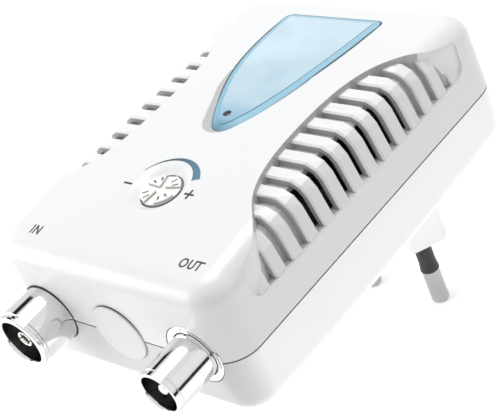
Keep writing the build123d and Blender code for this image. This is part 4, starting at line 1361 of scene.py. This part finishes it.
slotCutters = growFrom("slotCutters", points, tree, values)
rotorMesh = cutAway(rotorMesh, [crossCutter(), slotCutters])
smoothShade(rotorMesh, "turned")
rotorMesh.materials.clear()
# The walls of the recesses take the painted shade
for finish in (nylonWhite, nylonShade):
    rotorMesh.materials.append(finish)
for face in rotorMesh.polygons:
    face.material_index = 1 if abs(face.normal.z) < rotor["wallUp"] else 0
addPiece("gainRotorCap", rotorMesh, nylonWhite, "gain_dial", ["gain_rotor"])

# Screws: one turned screw with a cross recess, repeated at its places with its own turn
screws = {
    "seed": 7,
    "fullTurn": 6.28,
    "facets": 32,
    "bend": 6,
    "dome": 0.7,
    "edge": 0.08,
    "point": 0.5,
    "pointShare": 0.4,
    "crossReach": 0.6,
    "crossThin": 0.14,
    "crossDeep": 0.55,
    "housing": {
        "node": "housing_screws",
        "head": 2.6,
        "rise": 1.8,
        "shank": 1.4,
        "up": False,
        "places": [(-9.7, -62.0), (9.7, -62.0), (-23.3, 9.6), (23.3, 9.6)],
    },
    "board": {
        "node": "board_screws",
        "head": 2.0,
        "rise": 1.2,
        "shank": 0.9,
        "up": True,
        "places": [(-21.5, -53.0), (-21.5, 0.5), (21.5, -53.0), (21.5, 0.5)],
    },
}


def screwMesh(name, size, length):
    # One screw, the top of its head at zero and its shank away from it
    head, rise, shank = size["head"], size["rise"], size["shank"]
    profile = [
        (0, 0, 0),
        (head, 0, rise * screws["dome"]),
        (head, -rise, screws["edge"]),
        (shank, -rise, 0),
        (shank, -length + screws["point"], 0),
        (shank * screws["pointShare"], -length, 0),
        (0, -length, 0),
    ]
    along = upwards if size["up"] else downwards
    mesh = spin(name, roundCorners(profile, screws["bend"]), (0, 0, 0), along, screws["facets"])
    reach = head * screws["crossReach"] / 1000
    thin = head * screws["crossThin"] / 1000
    deep = rise * screws["crossDeep"] / 1000
    arms = ((reach, thin), (thin, reach))
    return cutAway(mesh, [blockMesh("drive", (-x, -y, -deep), (x, y, deep)) for x, y in arms])


tree, source, sink, ids = newTree(
    "screwSet", [("Screw", "NodeSocketObject"), ("Seed", "NodeSocketInt")]
)
shape = addNode(tree, "GeometryNodeObjectInfo", links={"Object": source.outputs["Screw"]})
turn = addNode(
    tree, "FunctionNodeRandomValue", {"data_type": "FLOAT_VECTOR"}, {"Seed": source.outputs["Seed"]}
)
turn.inputs["Max"].default_value = (0.0, 0.0, screws["fullTurn"])
links = {"Instance": shape.outputs["Geometry"], "Rotation": turn.outputs["Value"]}
endTree(tree, source, sink, zincScrew, links)
for label in ("housing", "board"):
    size = screws[label]
    low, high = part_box(size["node"])
    z = high.z if size["up"] else low.z
    model = addObject(label + "Screw", screwMesh(label + "Screw", size, (high.z - low.z) * 1000))
    points = [(x / 1000, y / 1000, z) for x, y in size["places"]]
    mesh = growFrom(label + "Screws", points, tree, {ids["Screw"]: model, ids["Seed"]: screws["seed"]})
    bpy.data.objects.remove(model)
    smoothShade(mesh, "turned")
    addPiece(label + "Screws", mesh, zincScrew, "body", [size["node"]])
print("rotor and screws ready")
